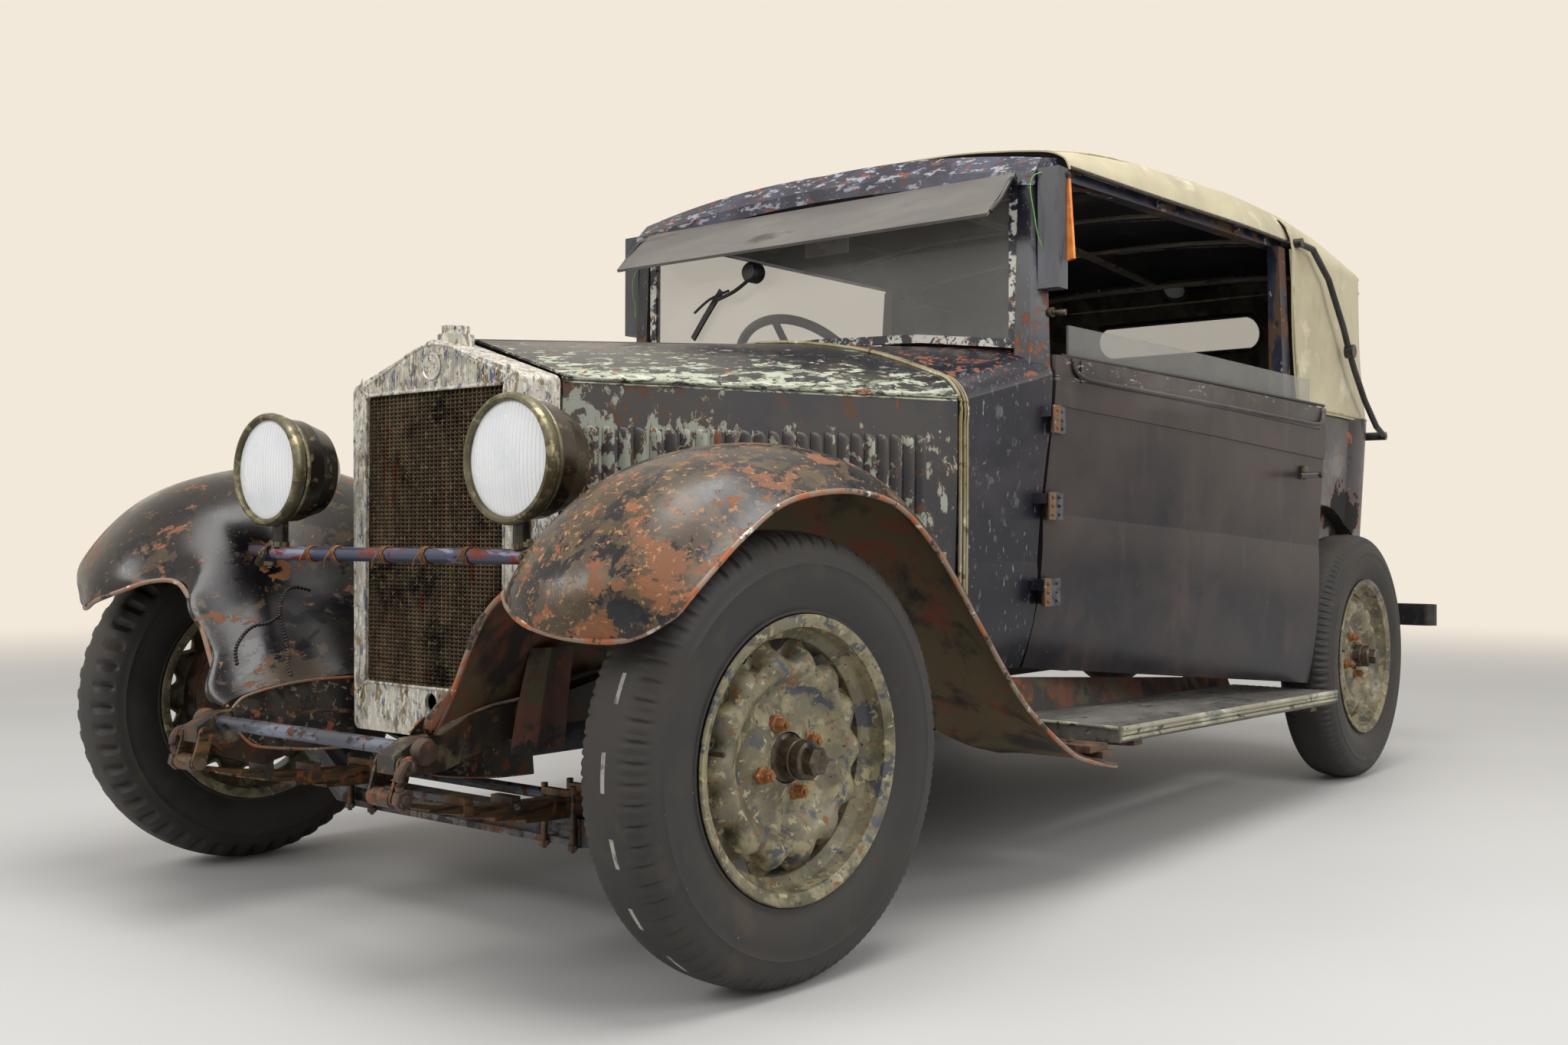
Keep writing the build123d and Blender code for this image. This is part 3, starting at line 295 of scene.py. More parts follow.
lamp_lacquer = finish("stove_enamel_lamp", "#191713", 0.24, (
    patches("#3A3020", 90, 0.32, 0.12, rough=0.34, detail=5),
    patches("#5F4E32", 26, 0.05, 0.05, rough=0.5, seed=3),
    dict(kind="specks", colour="#8F7B55", size=13, low=0.04, high=0.12, few=0.55, rough=0.5, seed=4),
), grain=((40, 0.15),))
lamp_brass = finish("dulled_brass_rim", "#6B6650", 0.4, (
    patches("#544E39", 60, 0.4, 0.1, rough=0.45),
    patches("#8A8266", 22, 0.15, 0.06, rough=0.3, seed=2),
), metal=0.6, grain=((20, 0.1),))
reflector = finish("silvered_reflector", "#F2F4F5", 0.1, (
    patches("#DDE1E4", 60, 0.2, 0.1, rough=0.16),), metal=1.0)
# Wheels: beige-olive enamel, chalked and stained, flaked to dark steel at the rim.
wheel_paint = finish("chipped_wheel_enamel", "#736C56", 0.42, (
    patches("#544F3D", 110, 0.38, 0.12, rough=0.5, detail=6),
    patches("#8B8263", 60, 0.3, 0.08, rough=0.42, seed=2),
    patches("#454850", 40, 0.1, 0.05, rough=0.46, seed=10),
    patches("#A09876", 18, 0.06, 0.03, rough=0.46, seed=7),
    patches("#292827", 11, 0.02, HARD, rough=0.45, raised=-0.15, ragged=0.68, seed=3),
    patches("#7D5534", 20, 0.03, 0.03, rough=0.75, seed=5),
), grain=((30, 0.25), (4, 0.05)))
hub_steel = finish("greased_steel_hub", "#4A4032", 0.42, (
    patches("#5F584C", 18, 0.14, 0.14, rough=0.35),
    patches("#20201F", 30, 0.11, 0.08, seed=2, rough=0.3),
), metal=0.5)
rusty_iron = finish("rusted_iron", "#564536", 0.66, (
    patches("#3D2E28", 60, 0.35, 0.15, rough=0.65),
    patches(RUST, 26, 0.11, 0.08, rough=0.88, seed=2),
    patches("#8F8A80", 18, 0.01, 0.06, rough=0.45, seed=3, metal=0.5),
), grain=((6, 0.2),))
nut_rust = finish("rusted_wheel_nut", "#8A5A32", 0.75, (
    patches("#6B3F24", 12, 0.18, 0.12, rough=0.85),
    patches("#C58A4E", 7, 0.03, 0.08, rough=0.75, seed=2),
), grain=((3, 0.15),))
chassis_iron = finish("oiled_chassis_black", "#2B2622", 0.5, (
    patches("#5A4028", 110, 0.27, 0.12, rough=0.68),
    patches("#7A5232", 40, 0.02, 0.06, rough=0.85, seed=2),
    patches("#6E654F", 70, 0.02, 0.08, rough=0.75, seed=3),
), grain=((10, 0.2),))
bar_steel = finish("worn_steel_bar_and_painted_highlight", "#4A4E63", 0.34, (
    patches("#7C3A28", 60, 0.22, 0.06, stretch=(1, 3, 1), rough=0.7),
    # The pale blue-lilac streaks along the bar are painted highlight.
    patches("#8F95AE", 30, 0.06, 0.08, stretch=(1, 4, 1), rough=0.3, seed=2),
    patches("#2A2430", 22, 0.03, 0.04, stretch=(1, 2, 1), rough=0.5, seed=3),
), metal=0.45)
spring_steel = finish("greased_spring_steel", "#4A3A28", 0.42, (
    patches("#6B5230", 50, 0.35, 0.12, stretch=(4, 1, 1), rough=0.5),
    patches("#2A221C", 22, 0.25, 0.08, stretch=(5, 1, 0.5), seed=2),
    patches(RUST, 18, 0.1, 0.04, seed=3, rough=0.8),
), metal=0.3, grain=((5, 0.2, 6, 1, 1),))
axle_steel = finish("scraped_axle_steel", "#46464A", 0.46, (
    patches("#6A6A6C", 60, 0.25, 0.08, stretch=(1, 4, 1), rough=0.4),
    patches("#5A4232", 50, 0.25, 0.06, seed=2, rough=0.75),
    patches("#26221F", 40, 0.2, 0.06, seed=3),
), metal=0.35, grain=((6, 0.2),))
tube_steel = finish("blued_steel_tube", "#50535C", 0.34, (
    patches("#787E8E", 40, 0.3, 0.08, stretch=(1, 4, 1), rough=0.3),
    patches("#5C4030", 44, 0.16, 0.04, seed=2, rough=0.75),
    patches("#2A272A", 18, 0.12, 0.04, seed=3, stretch=(1, 2, 1)),
), metal=0.5, grain=((5, 0.12),))
post_enamel = finish("rubbed_blue_post", "#1D2233", 0.34, (
    patches("#33303A", 120, 0.35, 0.1, rough=0.45),
    patches("#4E3626", 60, 0.26, 0.03, rough=0.75, seed=2, stretch=(2, 1, 2)),
    patches("#8A8A8E", 16, 0.02, HARD, seed=3, stretch=(2, 1, 2)),
), grain=((40, 0.15),))
tyre_rubber = finish("aged_tyre_rubber", "#222121", 0.55, (
    patches("#302D2A", 150, 0.38, 0.16, rough=0.7, detail=6),
    patches("#443B30", 90, 0.03, 0.12, rough=0.8, seed=2, amount=0.8),
    dict(kind="specks", colour="#8A7F6C", size=26, low=0.02, high=0.07, few=0.55, rough=0.8, seed=4),
), grain=((40, 0.3), (2.5, 0.05)))
board_grey = finish("worn_linoleum_board", "#4A4845", 0.7, (
    patches("#6C6862", 160, 0.27, 0.16, rough=0.75, stretch=(2, 1, 1)),
    patches("#2E2B29", 60, 0.05, 0.06, rough=0.6, seed=2),
    patches("#8A8274", 20, 0.01, 0.06, rough=0.8, seed=3),
), grain=((5, 0.15),))
board_edge = finish("creamed_edge_strip", "#8F8B76", 0.55, (
    patches("#B7B39B", 60, 0.27, 0.12, stretch=(3, 1, 1)),
    patches("#4A3A2C", 26, 0.04, 0.03, seed=2, rough=0.8, raised=-0.3, stretch=(2, 1, 1)),
    patches("#6F7468", 90, 0.1, 0.07, seed=3),
), grain=((8, 0.2),))
header_lacquer = finish("flaked_lacquer_header", "#232535", 0.32, (
    patches("#3F4152", 120, 0.3, 0.13, rough=0.42),
    patches("#94929A", 22, 0.2, 0.02, stretch=(1, 2.2, 0.9), rough=0.5, raised=-0.15, ragged=0.7, seed=2),
    patches("#7A4433", 20, 0.06, 0.025, rough=0.8, seed=3, stretch=(1, 2, 1)),
), grain=((40, 0.2),))
visor_cloth = finish("greyed_board_visor", "#5E5A56", 0.55, (
    patches("#74706A", 200, 0.22, 0.2, rough=0.6, stretch=(1, 3, 1)),
    patches("#46433F", 60, 0.02, 0.08, seed=2, stretch=(1, 4, 1)),
), grain=((6, 0.08, 1, 8, 1),))
trafficator_paint = finish("blued_enamel_box", "#414247", 0.42, (
    patches("#53555B", 120, 0.32, 0.14, stretch=(1, 1, 3)),
    patches("#2E3040", 40, 0.03, 0.08, seed=2, stretch=(1, 1, 3)),
), grain=((5, 0.06, 1, 1, 6),))
amber = finish("faded_amber_celluloid", "#E0782A", 0.35, (
    patches("#F09A45", 40, 0.22, 0.14),), Coat_Weight=0.3)
frame_enamel = finish("flaked_white_frame", "#2A2C36", 0.45, (
    patches("#DEDBCF", 26, 0.42, 0.025, rough=0.55, raised=0.15, ragged=0.7, stretch=(1, 1.4, 1.4)),
    patches("#9A6A44", 30, 0.04, 0.03, rough=0.8, seed=3),
), grain=((8, 0.1),))
black_trim = finish("japanned_iron", "#1E1D1E", 0.38, (
    patches("#33302E", 60, 0.14, 0.14, rough=0.5),
    patches("#5E4633", 18, 0.01, 0.06, rough=0.8, seed=2),
), grain=((10, 0.1),))
engine_iron = finish("oily_cast_iron", "#3B3A36", 0.6, (
    patches("#57503F", 90, 0.22, 0.14, rough=0.5),
    patches("#26221F", 70, 0.09, 0.1, seed=2, rough=0.35),
), grain=((3, 0.25),), metal=0.2)
wood = finish("waxed_ash_wood", "#4B3527", 0.5, (
    patches("#6A4C36", 30, 0.3, 0.17, stretch=(8, 1, 1)),
    patches("#33231A", 12, 0.05, 0.1, stretch=(10, 1, 1), seed=2),
), grain=((4, 0.1, 10, 1, 1),))
floor_boards = finish("dusty_floor_boards", "#3A332C", 0.75, (
    patches("#544A3E", 90, 0.27, 0.16, stretch=(3, 1, 1)),
    patches("#241F1B", 60, 0.05, 0.1, seed=2),
), grain=((6, 0.15, 6, 1, 1),))
leather = finish("cracked_seat_leather", "#3A2A22", 0.5, (
    patches("#573F31", 120, 0.27, 0.16, rough=0.58),
    patches("#241A16", 40, 0.06, 0.07, seed=2, rough=0.4),
    patches("#7A6350", 12, 0.01, 0.06, seed=3, rough=0.7),
), grain=((5, 0.15), (1.6, 0.08)))
window_glass = finish("old_plate_glass", "#94948F", 0.06, (
    patches("#A9A9A2", 160, 0.03, 0.25, rough=0.16),
    dict(kind="specks", colour="#E8E8E4", size=30, low=0.01, high=0.035, few=0.5, rough=0.5),
), Alpha=0.34, IOR=1.5)
# Lens glass: the white base is painted light, the silvered reflector's brightness seen through it; the darker stripes
# at the flutes' pitch are painted shade of the flutes.
lens_glass = finish("pressed_lens_glass", "#FFFFFF", 0.05, (
    dict(kind="stripes", axis=1, size=8.5, low=0.0, high=0.35, colour="#C9D0D6"),
    patches("#EEF2F5", 60, 0.06, 0.2, rough=0.09),), Transmission_Weight=0.15, IOR=1.5)

# Cotton duck, proofed and bleached by weather. The weave is drawn at 2.4 mm, coarser than the real 0.8 mm, so that it
# shows; stains run down it.
canvas_cloth = finish("weathered_cotton_duck", "#C3B896", 0.85, (
    patches("#ABA081", 380, 0.27, 0.24, detail=5),
    patches("#8C7F60", 120, 0.01, 0.14, seed=3, stretch=(1, 1, 3), amount=0.5),
    patches("#EFE6CB", 160, 0.02, 0.12, seed=5, amount=0.6),
), grain=((2.4, 0.22, 4, 1, 1), (2.4, 0.22, 1, 4, 4), (90, 0.8)), Sheen_Weight=0.15)
back_lining = finish("grimy_wool_lining", "#554D43", 0.92, (
    patches("#6B6255", 160, 0.4, 0.15), patches("#3A342E", 120, 0.3, 0.12, seed=2)), grain=((2.5, 0.15, 1, 4, 1),))
lining_cloth = finish("darkened_wool_lining", "#2F2C2E", 0.92, (
    patches("#403C3B", 200, 0.3, 0.17),
    patches("#5A5148", 90, 0.01, 0.1, seed=2),
), grain=((2.5, 0.15, 1, 4, 1), (2.5, 0.15, 4, 1, 1)))
cover_lacquer = finish("chipped_black_cover", "#1E1C1D", 0.3, (
    patches("#3A332C", 70, 0.3, 0.08, rough=0.42),
    patches("#7A6F5C", 12, 0.06, HARD, seed=3, rough=0.6),
    patches(RUST, 30, 0.06, HARD, seed=4, rough=0.8)), grain=((50, 0.3),))
tar_black = finish("tarred_sheet_pan", "#17171B", 0.36, (
    patches("#2C2D38", 80, 0.35, 0.1, rough=0.3), patches("#3A2F27", 50, 0.12, 0.05, seed=2, rough=0.7)),
    grain=((50, 0.4),))
tread_dust = finish("dust_in_tread", "#A09C94", 0.8, (patches("#6A645B", 20, 0.18, 0.12),))
# Painted shade: near black, for the block behind the radiator ribbons.
core_shadow = finish("painted_shade_in_core", "#14110F", 0.7, (patches("#2A211A", 30, 0.14, 0.14),), metal=0.2)
badge_enamel = finish("bare_badge_disc", "#C9C5BA", 0.35, (
    patches("#8E8570", 14, 0.18, 0.08, rough=0.5), patches("#B77A5A", 9, 0.02, 0.06, seed=2)), metal=0.3)
bulb_glass = finish("frosted_bulb", "#F4F1E6", 0.2, (patches("#E4DDC8", 10, 0.06, 0.2),))
binding_wire = finish("rusted_binding_wire", "#7A5232", 0.6, (patches("#A9744A", 8, 0.18, 0.12),), metal=0.4)
rolled_edge = finish("rubbed_fender_edge", "#8B7462", 0.5, (
    patches("#A4633F", 50, 0.32, 0.06, rough=0.75), patches("#3A302A", 40, 0.11, 0.04, seed=2, rough=0.4),
    patches("#C9C2B4", 26, 0.03, 0.04, seed=3, rough=0.4)), metal=0.2, grain=((6, 0.15),))
moulding_brass = finish("painted_brass_bead", "#9C947A", 0.42, (
    patches("#8A7D55", 60, 0.38, 0.12, stretch=(1, 1, 3)), patches("#5C4A30", 26, 0.05, 0.06, seed=2),
    patches("#D8D2B4", 30, 0.02, 0.06, seed=3)), metal=0.35, grain=((6, 0.1),))
hinge_steel = finish("worn_blue_steel", "#5B5E68", 0.36, (
    patches("#3A3A44", 20, 0.22, 0.1), patches("#8B5A3A", 14, 0.02, 0.06, seed=2, rough=0.7)), metal=0.55)
hinge_strap = finish("rusted_hinge_strap", "#6B5A48", 0.55, (
    patches("#8B5A3A", 18, 0.22, 0.1, rough=0.8), patches("#A9A595", 12, 0.02, 0.06, seed=2, rough=0.4)), metal=0.35)
binding_tape = finish("folded_canvas_tape", "#B3A888", 0.85, (patches("#9A8F70", 40, 0.27, 0.16),),
    grain=((2.4, 0.2),))
wiper_rubber = finish("perished_wiper_rubber", "#17171A", 0.5, (patches("#2B2B2E", 18, 0.18, 0.12),))
mirror_back = finish("greyed_card_sleeve", "#B9BCBD", 0.45, (patches("#9BA0A3", 40, 0.27, 0.12),))
wire_green = finish("green_bell_wire", "#5F9A45", 0.4, (patches("#7DB85C", 20, 0.18, 0.12),))
dusty_wood = finish("dusty_ash_bow", "#7E766A", 0.75, (
    patches("#9A9284", 60, 0.35, 0.15, stretch=(1, 4, 1)), patches("#4E463D", 30, 0.03, 0.08, seed=2,
        stretch=(1, 5, 1))),
    grain=((4, 0.12, 1, 8, 1),))

FINISHES = {
    door_lacquer: ("door_left", "door_right"),
    cowl_lacquer: ("scuttle",),
    rear_lacquer: ("rear_body",),
    bonnet_top_lacquer: ("bonnet_top_left", "bonnet_top_right"),
    bonnet_side_lacquer: ("bonnet_side_left", "bonnet_side_right"),
    fender_lacquer: ("front_fenders",),
    apron_paint: ("splash_aprons",),
    shell_plate: ("radiator_shell",),
    core_bronze: ("radiator_core",),
    lamp_lacquer: ("headlamps",),
    lens_glass: ("headlamp_glasses",),
    bar_steel: ("lamp_bar",),
    tube_steel: ("track_rod", "frame_crossmembers"),
    wheel_paint: ("wheel_front_left", "wheel_front_right", "wheel_rear_left", "wheel_rear_right"),
    tyre_rubber: ("tyre_front_left", "tyre_front_right", "tyre_rear_left", "tyre_rear_right"),
    rusty_iron: ("knuckle_left", "knuckle_right", "running_board_brackets", "exhaust"),
    spring_steel: ("leaf_springs",),
    axle_steel: ("front_axle",),
    chassis_iron: ("rear_axle", "frame_rails"),
    board_grey: ("running_boards",),
    header_lacquer: ("roof_header",),
    visor_cloth: ("sun_visor",),
    trafficator_paint: ("trafficators",),
    frame_enamel: ("windscreen_frame",),
    window_glass: ("windscreen_glass", "door_glass_left", "door_glass_right"),
    black_trim: ("rear_bumper", "landau_irons", "bonnet_hinge", "steering_column", "steering_wheel", "floor_levers"),
    engine_iron: ("engine",),
    post_enamel: ("top_frame",),
    wood: ("dashboard",),
    floor_boards: ("floor",),
    leather: ("seats",),
    canvas_cloth: ("canvas_roof", "canvas_curtain"),
}


def wear(o, *materials):
    """Puts materials in a piece's slots, in order; clearing the slots would put every face back to the first."""
    slots = o.data.materials
    for i, m in enumerate(materials):
        if i < len(slots):
            slots[i] = m
        else:
            slots.append(m)


for material, names in FINISHES.items():
    for name in names:
        wear(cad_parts[name], *[material] * max(1, len(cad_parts[name].data.materials)))


# Meshes. The tables' points are in mm from the front axle, as in P, and a piece's own points in metres.

BOX_FACES = [[0, 1, 3, 2], [4, 6, 7, 5], [0, 4, 5, 1], [2, 3, 7, 6], [0, 2, 6, 4], [1, 5, 7, 3]]
MERGE = 0.00002      # metres; points nearer than this become one


def show(name, data):
    """An object of this data, in the scene."""
    o = bpy.data.objects.new(name, data)
    bpy.context.scene.collection.objects.link(o)
    return o


def as_seen(o):
    """The mesh that an object's modifiers make of it."""
    return bpy.data.meshes.new_from_object(o.evaluated_get(bpy.context.evaluated_depsgraph_get()))


def piece(name, points, faces, *materials, body="car", marks=None, crease=0.6, closed=True):
    """A mesh from points in this frame's metres, merged, faced outwards, smoothed but for its sharp edges."""
    mesh = bpy.data.meshes.new(name)
    mesh.from_pydata([tuple(p) for p in points], [], faces)
    if marks:
        mesh.polygons.foreach_set("material_index", marks)
    o = show(name, mesh)
    tidy(o, crease, closed)
    wear(o, *materials)
    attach(o, body)
    return o


def tidy(o, crease=0.6, closed=True):
    """Merges points that meet, and leaves edges turned by more than crease radians sharp."""
    bm = bmesh.new()
    bm.from_mesh(o.data)
    bmesh.ops.remove_doubles(bm, verts=bm.verts, dist=MERGE)
    bmesh.ops.dissolve_degenerate(bm, edges=bm.edges, dist=MERGE)
    if closed:
        bmesh.ops.recalc_face_normals(bm, faces=bm.faces)
    for e in bm.edges:
        e.smooth = len(e.link_faces) != 2 or e.calc_face_angle(0) < crease
    for f in bm.faces:
        f.smooth = True
    bm.to_mesh(o.data)
    bm.free()


class Heap:
    """Gathers small shapes of several materials, which then become one piece."""
    def __init__(self):
        self.points, self.faces, self.marks = [], [], []

    def add(self, shape, mark=0):
        points, faces = shape
        start = len(self.points)
        self.points += points
        self.faces += [[i + start for i in f] for f in faces]
        self.marks += [mark] * len(faces)
        return self

    def make(self, name, *materials, **more):
        return piece(name, self.points, self.faces, *materials, marks=self.marks, **more)


def grid_faces(rows, cols, loop_rows=False, loop_cols=False):
    """The faces of a grid of points, closed round on itself where it loops."""
    out = []
    for i in range(rows if loop_rows else rows - 1):
        for j in range(cols if loop_cols else cols - 1):
            a, b = i * cols + j, i * cols + (j + 1) % cols
            c, d = ((i + 1) % rows) * cols + (j + 1) % cols, ((i + 1) % rows) * cols + j
            out.append([a, b, c, d])
    return out


def prism_faces(n):
    """The faces of two rings of n points with both ends closed."""
    sides = [[k, (k + 1) % n, n + (k + 1) % n, n + k] for k in range(n)]
    return [list(range(n)), list(range(2 * n - 1, n - 1, -1))] + sides


def slab(grid, thick):
    """A sheet: the grid's own face, a second one thick metres behind it, and the rim between."""
    rows, cols = len(grid), len(grid[0])
    back = []
    for i in range(rows):
        for j in range(cols):
            u = grid[min(i + 1, rows - 1)][j] - grid[max(i - 1, 0)][j]
            v = grid[i][min(j + 1, cols - 1)] - grid[i][max(j - 1, 0)]
            back.append(grid[i][j] - u.cross(v).normalized() * thick)
    front = [p for row in grid for p in row]
    n, quads = rows * cols, grid_faces(rows, cols)
    faces = quads + [[i + n for i in reversed(f)] for f in quads]
    rim = [(i, 0) for i in range(rows)] + [(rows - 1, j) for j in range(1, cols)] \
        + [(i, cols - 1) for i in range(rows - 2, -1, -1)] + [(0, j) for j in range(cols - 2, 0, -1)]
    ids = [i * cols + j for i, j in rim]
    faces += [[a, b, b + n, a + n] for a, b in zip(ids, ids[1:] + ids[:1])]
    return front + back, faces


def lathe(rows, place, steps=64, shape=None, closed=True):
    """Turned about the Y axis of its own place; rows are (radius, y), and shape may move a point by its angle."""
    points = []
    for r, y in rows:
        for k in range(steps):
            a = math.tau * k / steps
            rr, yy = shape(r, y, a) if shape else (r, y)
            points.append(place(rr * math.cos(a), yy, rr * math.sin(a)))
    return points, grid_faces(len(rows), steps, loop_rows=closed, loop_cols=True)


def smooth_path(points, steps=6, closed=False):
    """A smooth curve that passes through all the points."""
    pts = [Vector(p) for p in points]
    n, out = len(pts), []
    for i in range(n if closed else n - 1):
        a, b = pts[(i - 1) % n] if closed or i else pts[i], pts[i]
        c, d = pts[(i + 1) % n], pts[(i + 2) % n] if closed or i + 2 < n else pts[(i + 1) % n]
        for k in range(steps):
            t = k / steps
            square, cube = 2 * a - 5 * b + 4 * c - d, 3 * b - a - 3 * c + d
            out.append(0.5 * (2 * b + (c - a) * t + square * t * t + cube * t ** 3))
    if not closed:
        out.append(pts[-1])
    return out


def sweep(path, section, closed=False, up=Vector((0, 0, 1))):
    """Draws a closed section of (side, up) offsets in mm along a path of mm points."""
    rings = []
    for i, p in enumerate(path):
        a = path[(i - 1) % len(path)] if closed or i else p
        b = path[(i + 1) % len(path)] if closed or i + 1 < len(path) else p
        ahead = (b - a).normalized()
        side = ahead.cross(up if abs(ahead.dot(up)) < 0.98 else Vector((1, 0, 0))).normalized()
        top = side.cross(ahead)
        rings.append([P(*(p + side * s + top * u)) for s, u in section])
    points = [p for r in rings for p in r]
    faces = grid_faces(len(rings), len(section), loop_rows=closed, loop_cols=True)
    if not closed:
        faces += [list(range(len(section)))[::-1], [len(points) - len(section) + k for k in range(len(section))]]
    return points, faces


def round_section(r, sides=10):
    """A circle for sweep to draw along its path."""
    return [(r * math.cos(math.tau * k / sides), r * math.sin(math.tau * k / sides)) for k in range(sides)]


def tube(points, r, sides=10, steps=6, closed=False):
    """A round bar along a smooth curve through the points."""
    return sweep(smooth_path(points, steps, closed), round_section(r, sides), closed)


def bar(p, q, r, sides=16):
    """A straight round bar."""
    return sweep([Vector(p), Vector(q)], round_section(r, sides))


def brick(x0, x1, y0, y1, z0, z1):
    """A box along the axes."""
    points = [P(x, y, z) for x in (x0, x1) for y in (y0, y1) for z in (z0, z1)]
    return points, BOX_FACES


def bolt(at, along, r=9.0, high=7.0, sides=6):
    """A nut or bolt head with a short domed end, standing on at along a direction."""
    at, along = Vector(at), Vector(along).normalized()
    side = along.cross(Vector((0.3, 0.2, 1)) if abs(along.z) < 0.9 else Vector((1, 0, 0))).normalized()
    top = along.cross(side)
    points = []
    for d, s in ((-1, 1.0), (high * 0.85, 1.0), (high, 0.86), (high, 0.5), (high * 1.5, 0.46), (high * 1.6, 0.2)):
        for k in range(sides):
            a = math.tau * k / sides
            points.append(P(*(at + along * d + (side * math.cos(a) + top * math.sin(a)) * r * s)))
    return points, grid_faces(6, sides, loop_cols=True) + [list(range(sides)),
        list(range(5 * sides, 6 * sides))[::-1]]


# What repeats: one tree sets copies of a shape out in rows, and one along a path.

def socket_of(tree, name):
    """The identifier of a tree's input, by its name."""
    return next(s.identifier for s in tree.interface.items_tree if s.name == name and s.in_out == "INPUT")


def repeat(name, shape, material, values, build, body="car"):
    """Builds a tree of named inputs, sets them, and turns its result into a plain mesh that rides on a body."""
    tree = bpy.data.node_groups.new(name + "_tree", "GeometryNodeTree")
    tree.interface.new_socket("Geometry", in_out="OUTPUT", socket_type="NodeSocketGeometry")
    for key, (kind, _) in values.items():
        tree.interface.new_socket(key, in_out="INPUT", socket_type="NodeSocket" + kind)
    inputs = node(tree, "NodeGroupInput")
    points, turn = build(tree, inputs)
    part = node(tree, "GeometryNodeObjectInfo", {"Object": shape}, transform_space="ORIGINAL")
    rows = node(tree, "GeometryNodeInstanceOnPoints", {"Points": points, "Instance": part.outputs["Geometry"]})
    if turn is not None:
        tree.links.new(turn, rows.inputs["Rotation"])
    real = node(tree, "GeometryNodeRealizeInstances", {"Geometry": rows.outputs[0]})
    coat = node(tree, "GeometryNodeSetMaterial", {"Geometry": real.outputs[0], "Material": material})
    node(tree, "NodeGroupOutput", {"Geometry": coat.outputs[0]})

    holder = show(name, bpy.data.meshes.new(name))
    way = holder.modifiers.new("rows", "NODES")
    way.node_group = tree
    for key, (_, value) in values.items():
        way[socket_of(tree, key)] = value
    bpy.context.view_layer.update()
    mesh = as_seen(holder)
    bpy.data.objects.remove(holder)
    bpy.data.objects.remove(shape)
    o = show(name, mesh)
    wear(o, material)
    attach(o, body)
    return o


def pattern(name, points, faces):
    """The shape that a tree repeats: metres about its own middle, not shown itself."""
    mesh = bpy.data.meshes.new(name)
    mesh.from_pydata([tuple(p) for p in points], [], faces)
    o = bpy.data.objects.new(name, mesh)
    tidy(o, 0.7)
    return o


def in_rows(name, shape, material, start, step_a, count_a, step_b=(0, 0, 0), count_b=1, body="car"):
    """Copies at start + a step_a + b step_b."""
    def build(tree, inputs):
        given = inputs.outputs
        line = node(tree, "GeometryNodeMeshLine", {"Count": calc(tree, "MULTIPLY", given["Count A"],
            given["Count B"])})
        index = node(tree, "GeometryNodeInputIndex").outputs[0]
        b = calc(tree, "FLOOR", calc(tree, "DIVIDE", index, given["Count A"]))
        a = calc(tree, "MODULO", index, given["Count A"])
        by_a, by_b = (node(tree, "ShaderNodeVectorMath", {0: given[key], "Scale": times},
            operation="SCALE").outputs[0]
                      for key, times in (("Step A", a), ("Step B", b)))
        at = on_points(tree, "ADD", on_points(tree, "ADD", by_a, by_b), given["Start"])
        return node(tree, "GeometryNodeSetPosition", {"Geometry": line.outputs[0], "Position": at}).outputs[0], None
    values = {"Count A": ("Int", count_a), "Count B": ("Int", count_b), "Start": ("Vector", tuple(start)),
              "Step A": ("Vector", tuple(step_a)), "Step B": ("Vector", tuple(step_b))}
    return repeat(name, shape, material, values, build, body)


def along_path(name, shape, material, path, gap, body="car"):
    """Copies every gap metres along a path of mm points, with their X along it."""
    curve = bpy.data.curves.new(name + "_path", "CURVE")
    curve.dimensions = "3D"
    spline = curve.splines.new("POLY")
    spline.points.add(len(path) - 1)
    for spot, p in zip(spline.points, path):
        spot.co = (*P(*p), 1)
    guide = bpy.data.objects.new(name + "_path", curve)

    def build(tree, inputs):
        line = node(tree, "GeometryNodeObjectInfo", {"Object": guide}, transform_space="ORIGINAL").outputs["Geometry"]
        spots = node(tree, "GeometryNodeCurveToPoints", {"Curve": line, "Length": inputs.outputs["Gap"]},
            mode="LENGTH")
        return spots.outputs["Points"], spots.outputs["Rotation"]
    o = repeat(name, shape, material, {"Gap": ("Float", gap)}, build, body)
    bpy.data.objects.remove(guide)
    return o


# Wheels and tyres

STEER = math.radians(-3.8)
WHEELBASE, HALF_TRACK, KINGPIN_Y, TYRE_RADIUS = 2642, 745, 656, 352
NUT_CIRCLE, NUTS, FIRST_NUT = 58, 4, 68             # mm, count, degrees
LOBES = 14
HUBS = {"front_left": (1, True), "front_right": (-1, True), "rear_left": (1, False), "rear_right": (-1, False)}
RIM_ROWS = [(221, -67), (223, -64), (222, -61), (214, -59), (208, -56), (206, -34), (202, -27), (191, -18), (191, 18),
            (202, 27), (206, 34), (208, 56), (214, 59), (222, 61), (223, 64), (221, 67), (217, 67), (210, 63),
            (203, 59), (200, 34), (197, 29), (187, 21), (184, 18), (184, -18), (187, -21), (197, -29), (200,
                -34), (203, -59), (210, -63), (217, -67)]
DISC_ROWS = [(188, 4), (188, 9), (183, 12), (177, 17), (172, 24), (167, 32), (160, 39), (152, 44), (144, 46.5),
    (136, 46),
             (128, 42), (120, 35), (113, 27), (106, 21), (98, 18), (84, 17), (70, 21), (62, 26), (46, 30), (40, 31),
             (40, 24), (60, 20), (84, 12), (104, 14), (118, 27), (130, 37), (144, 40), (154, 37), (164, 27), (172,
                 13), (180, 5)]
HUB_ROWS = [(0, 20), (38, 20), (38, 30), (33, 34), (32, 37), (31.5, 56), (29.5, 58), (29.5, 60), (31, 62), (30, 76),
    (26, 80), (0, 80)]
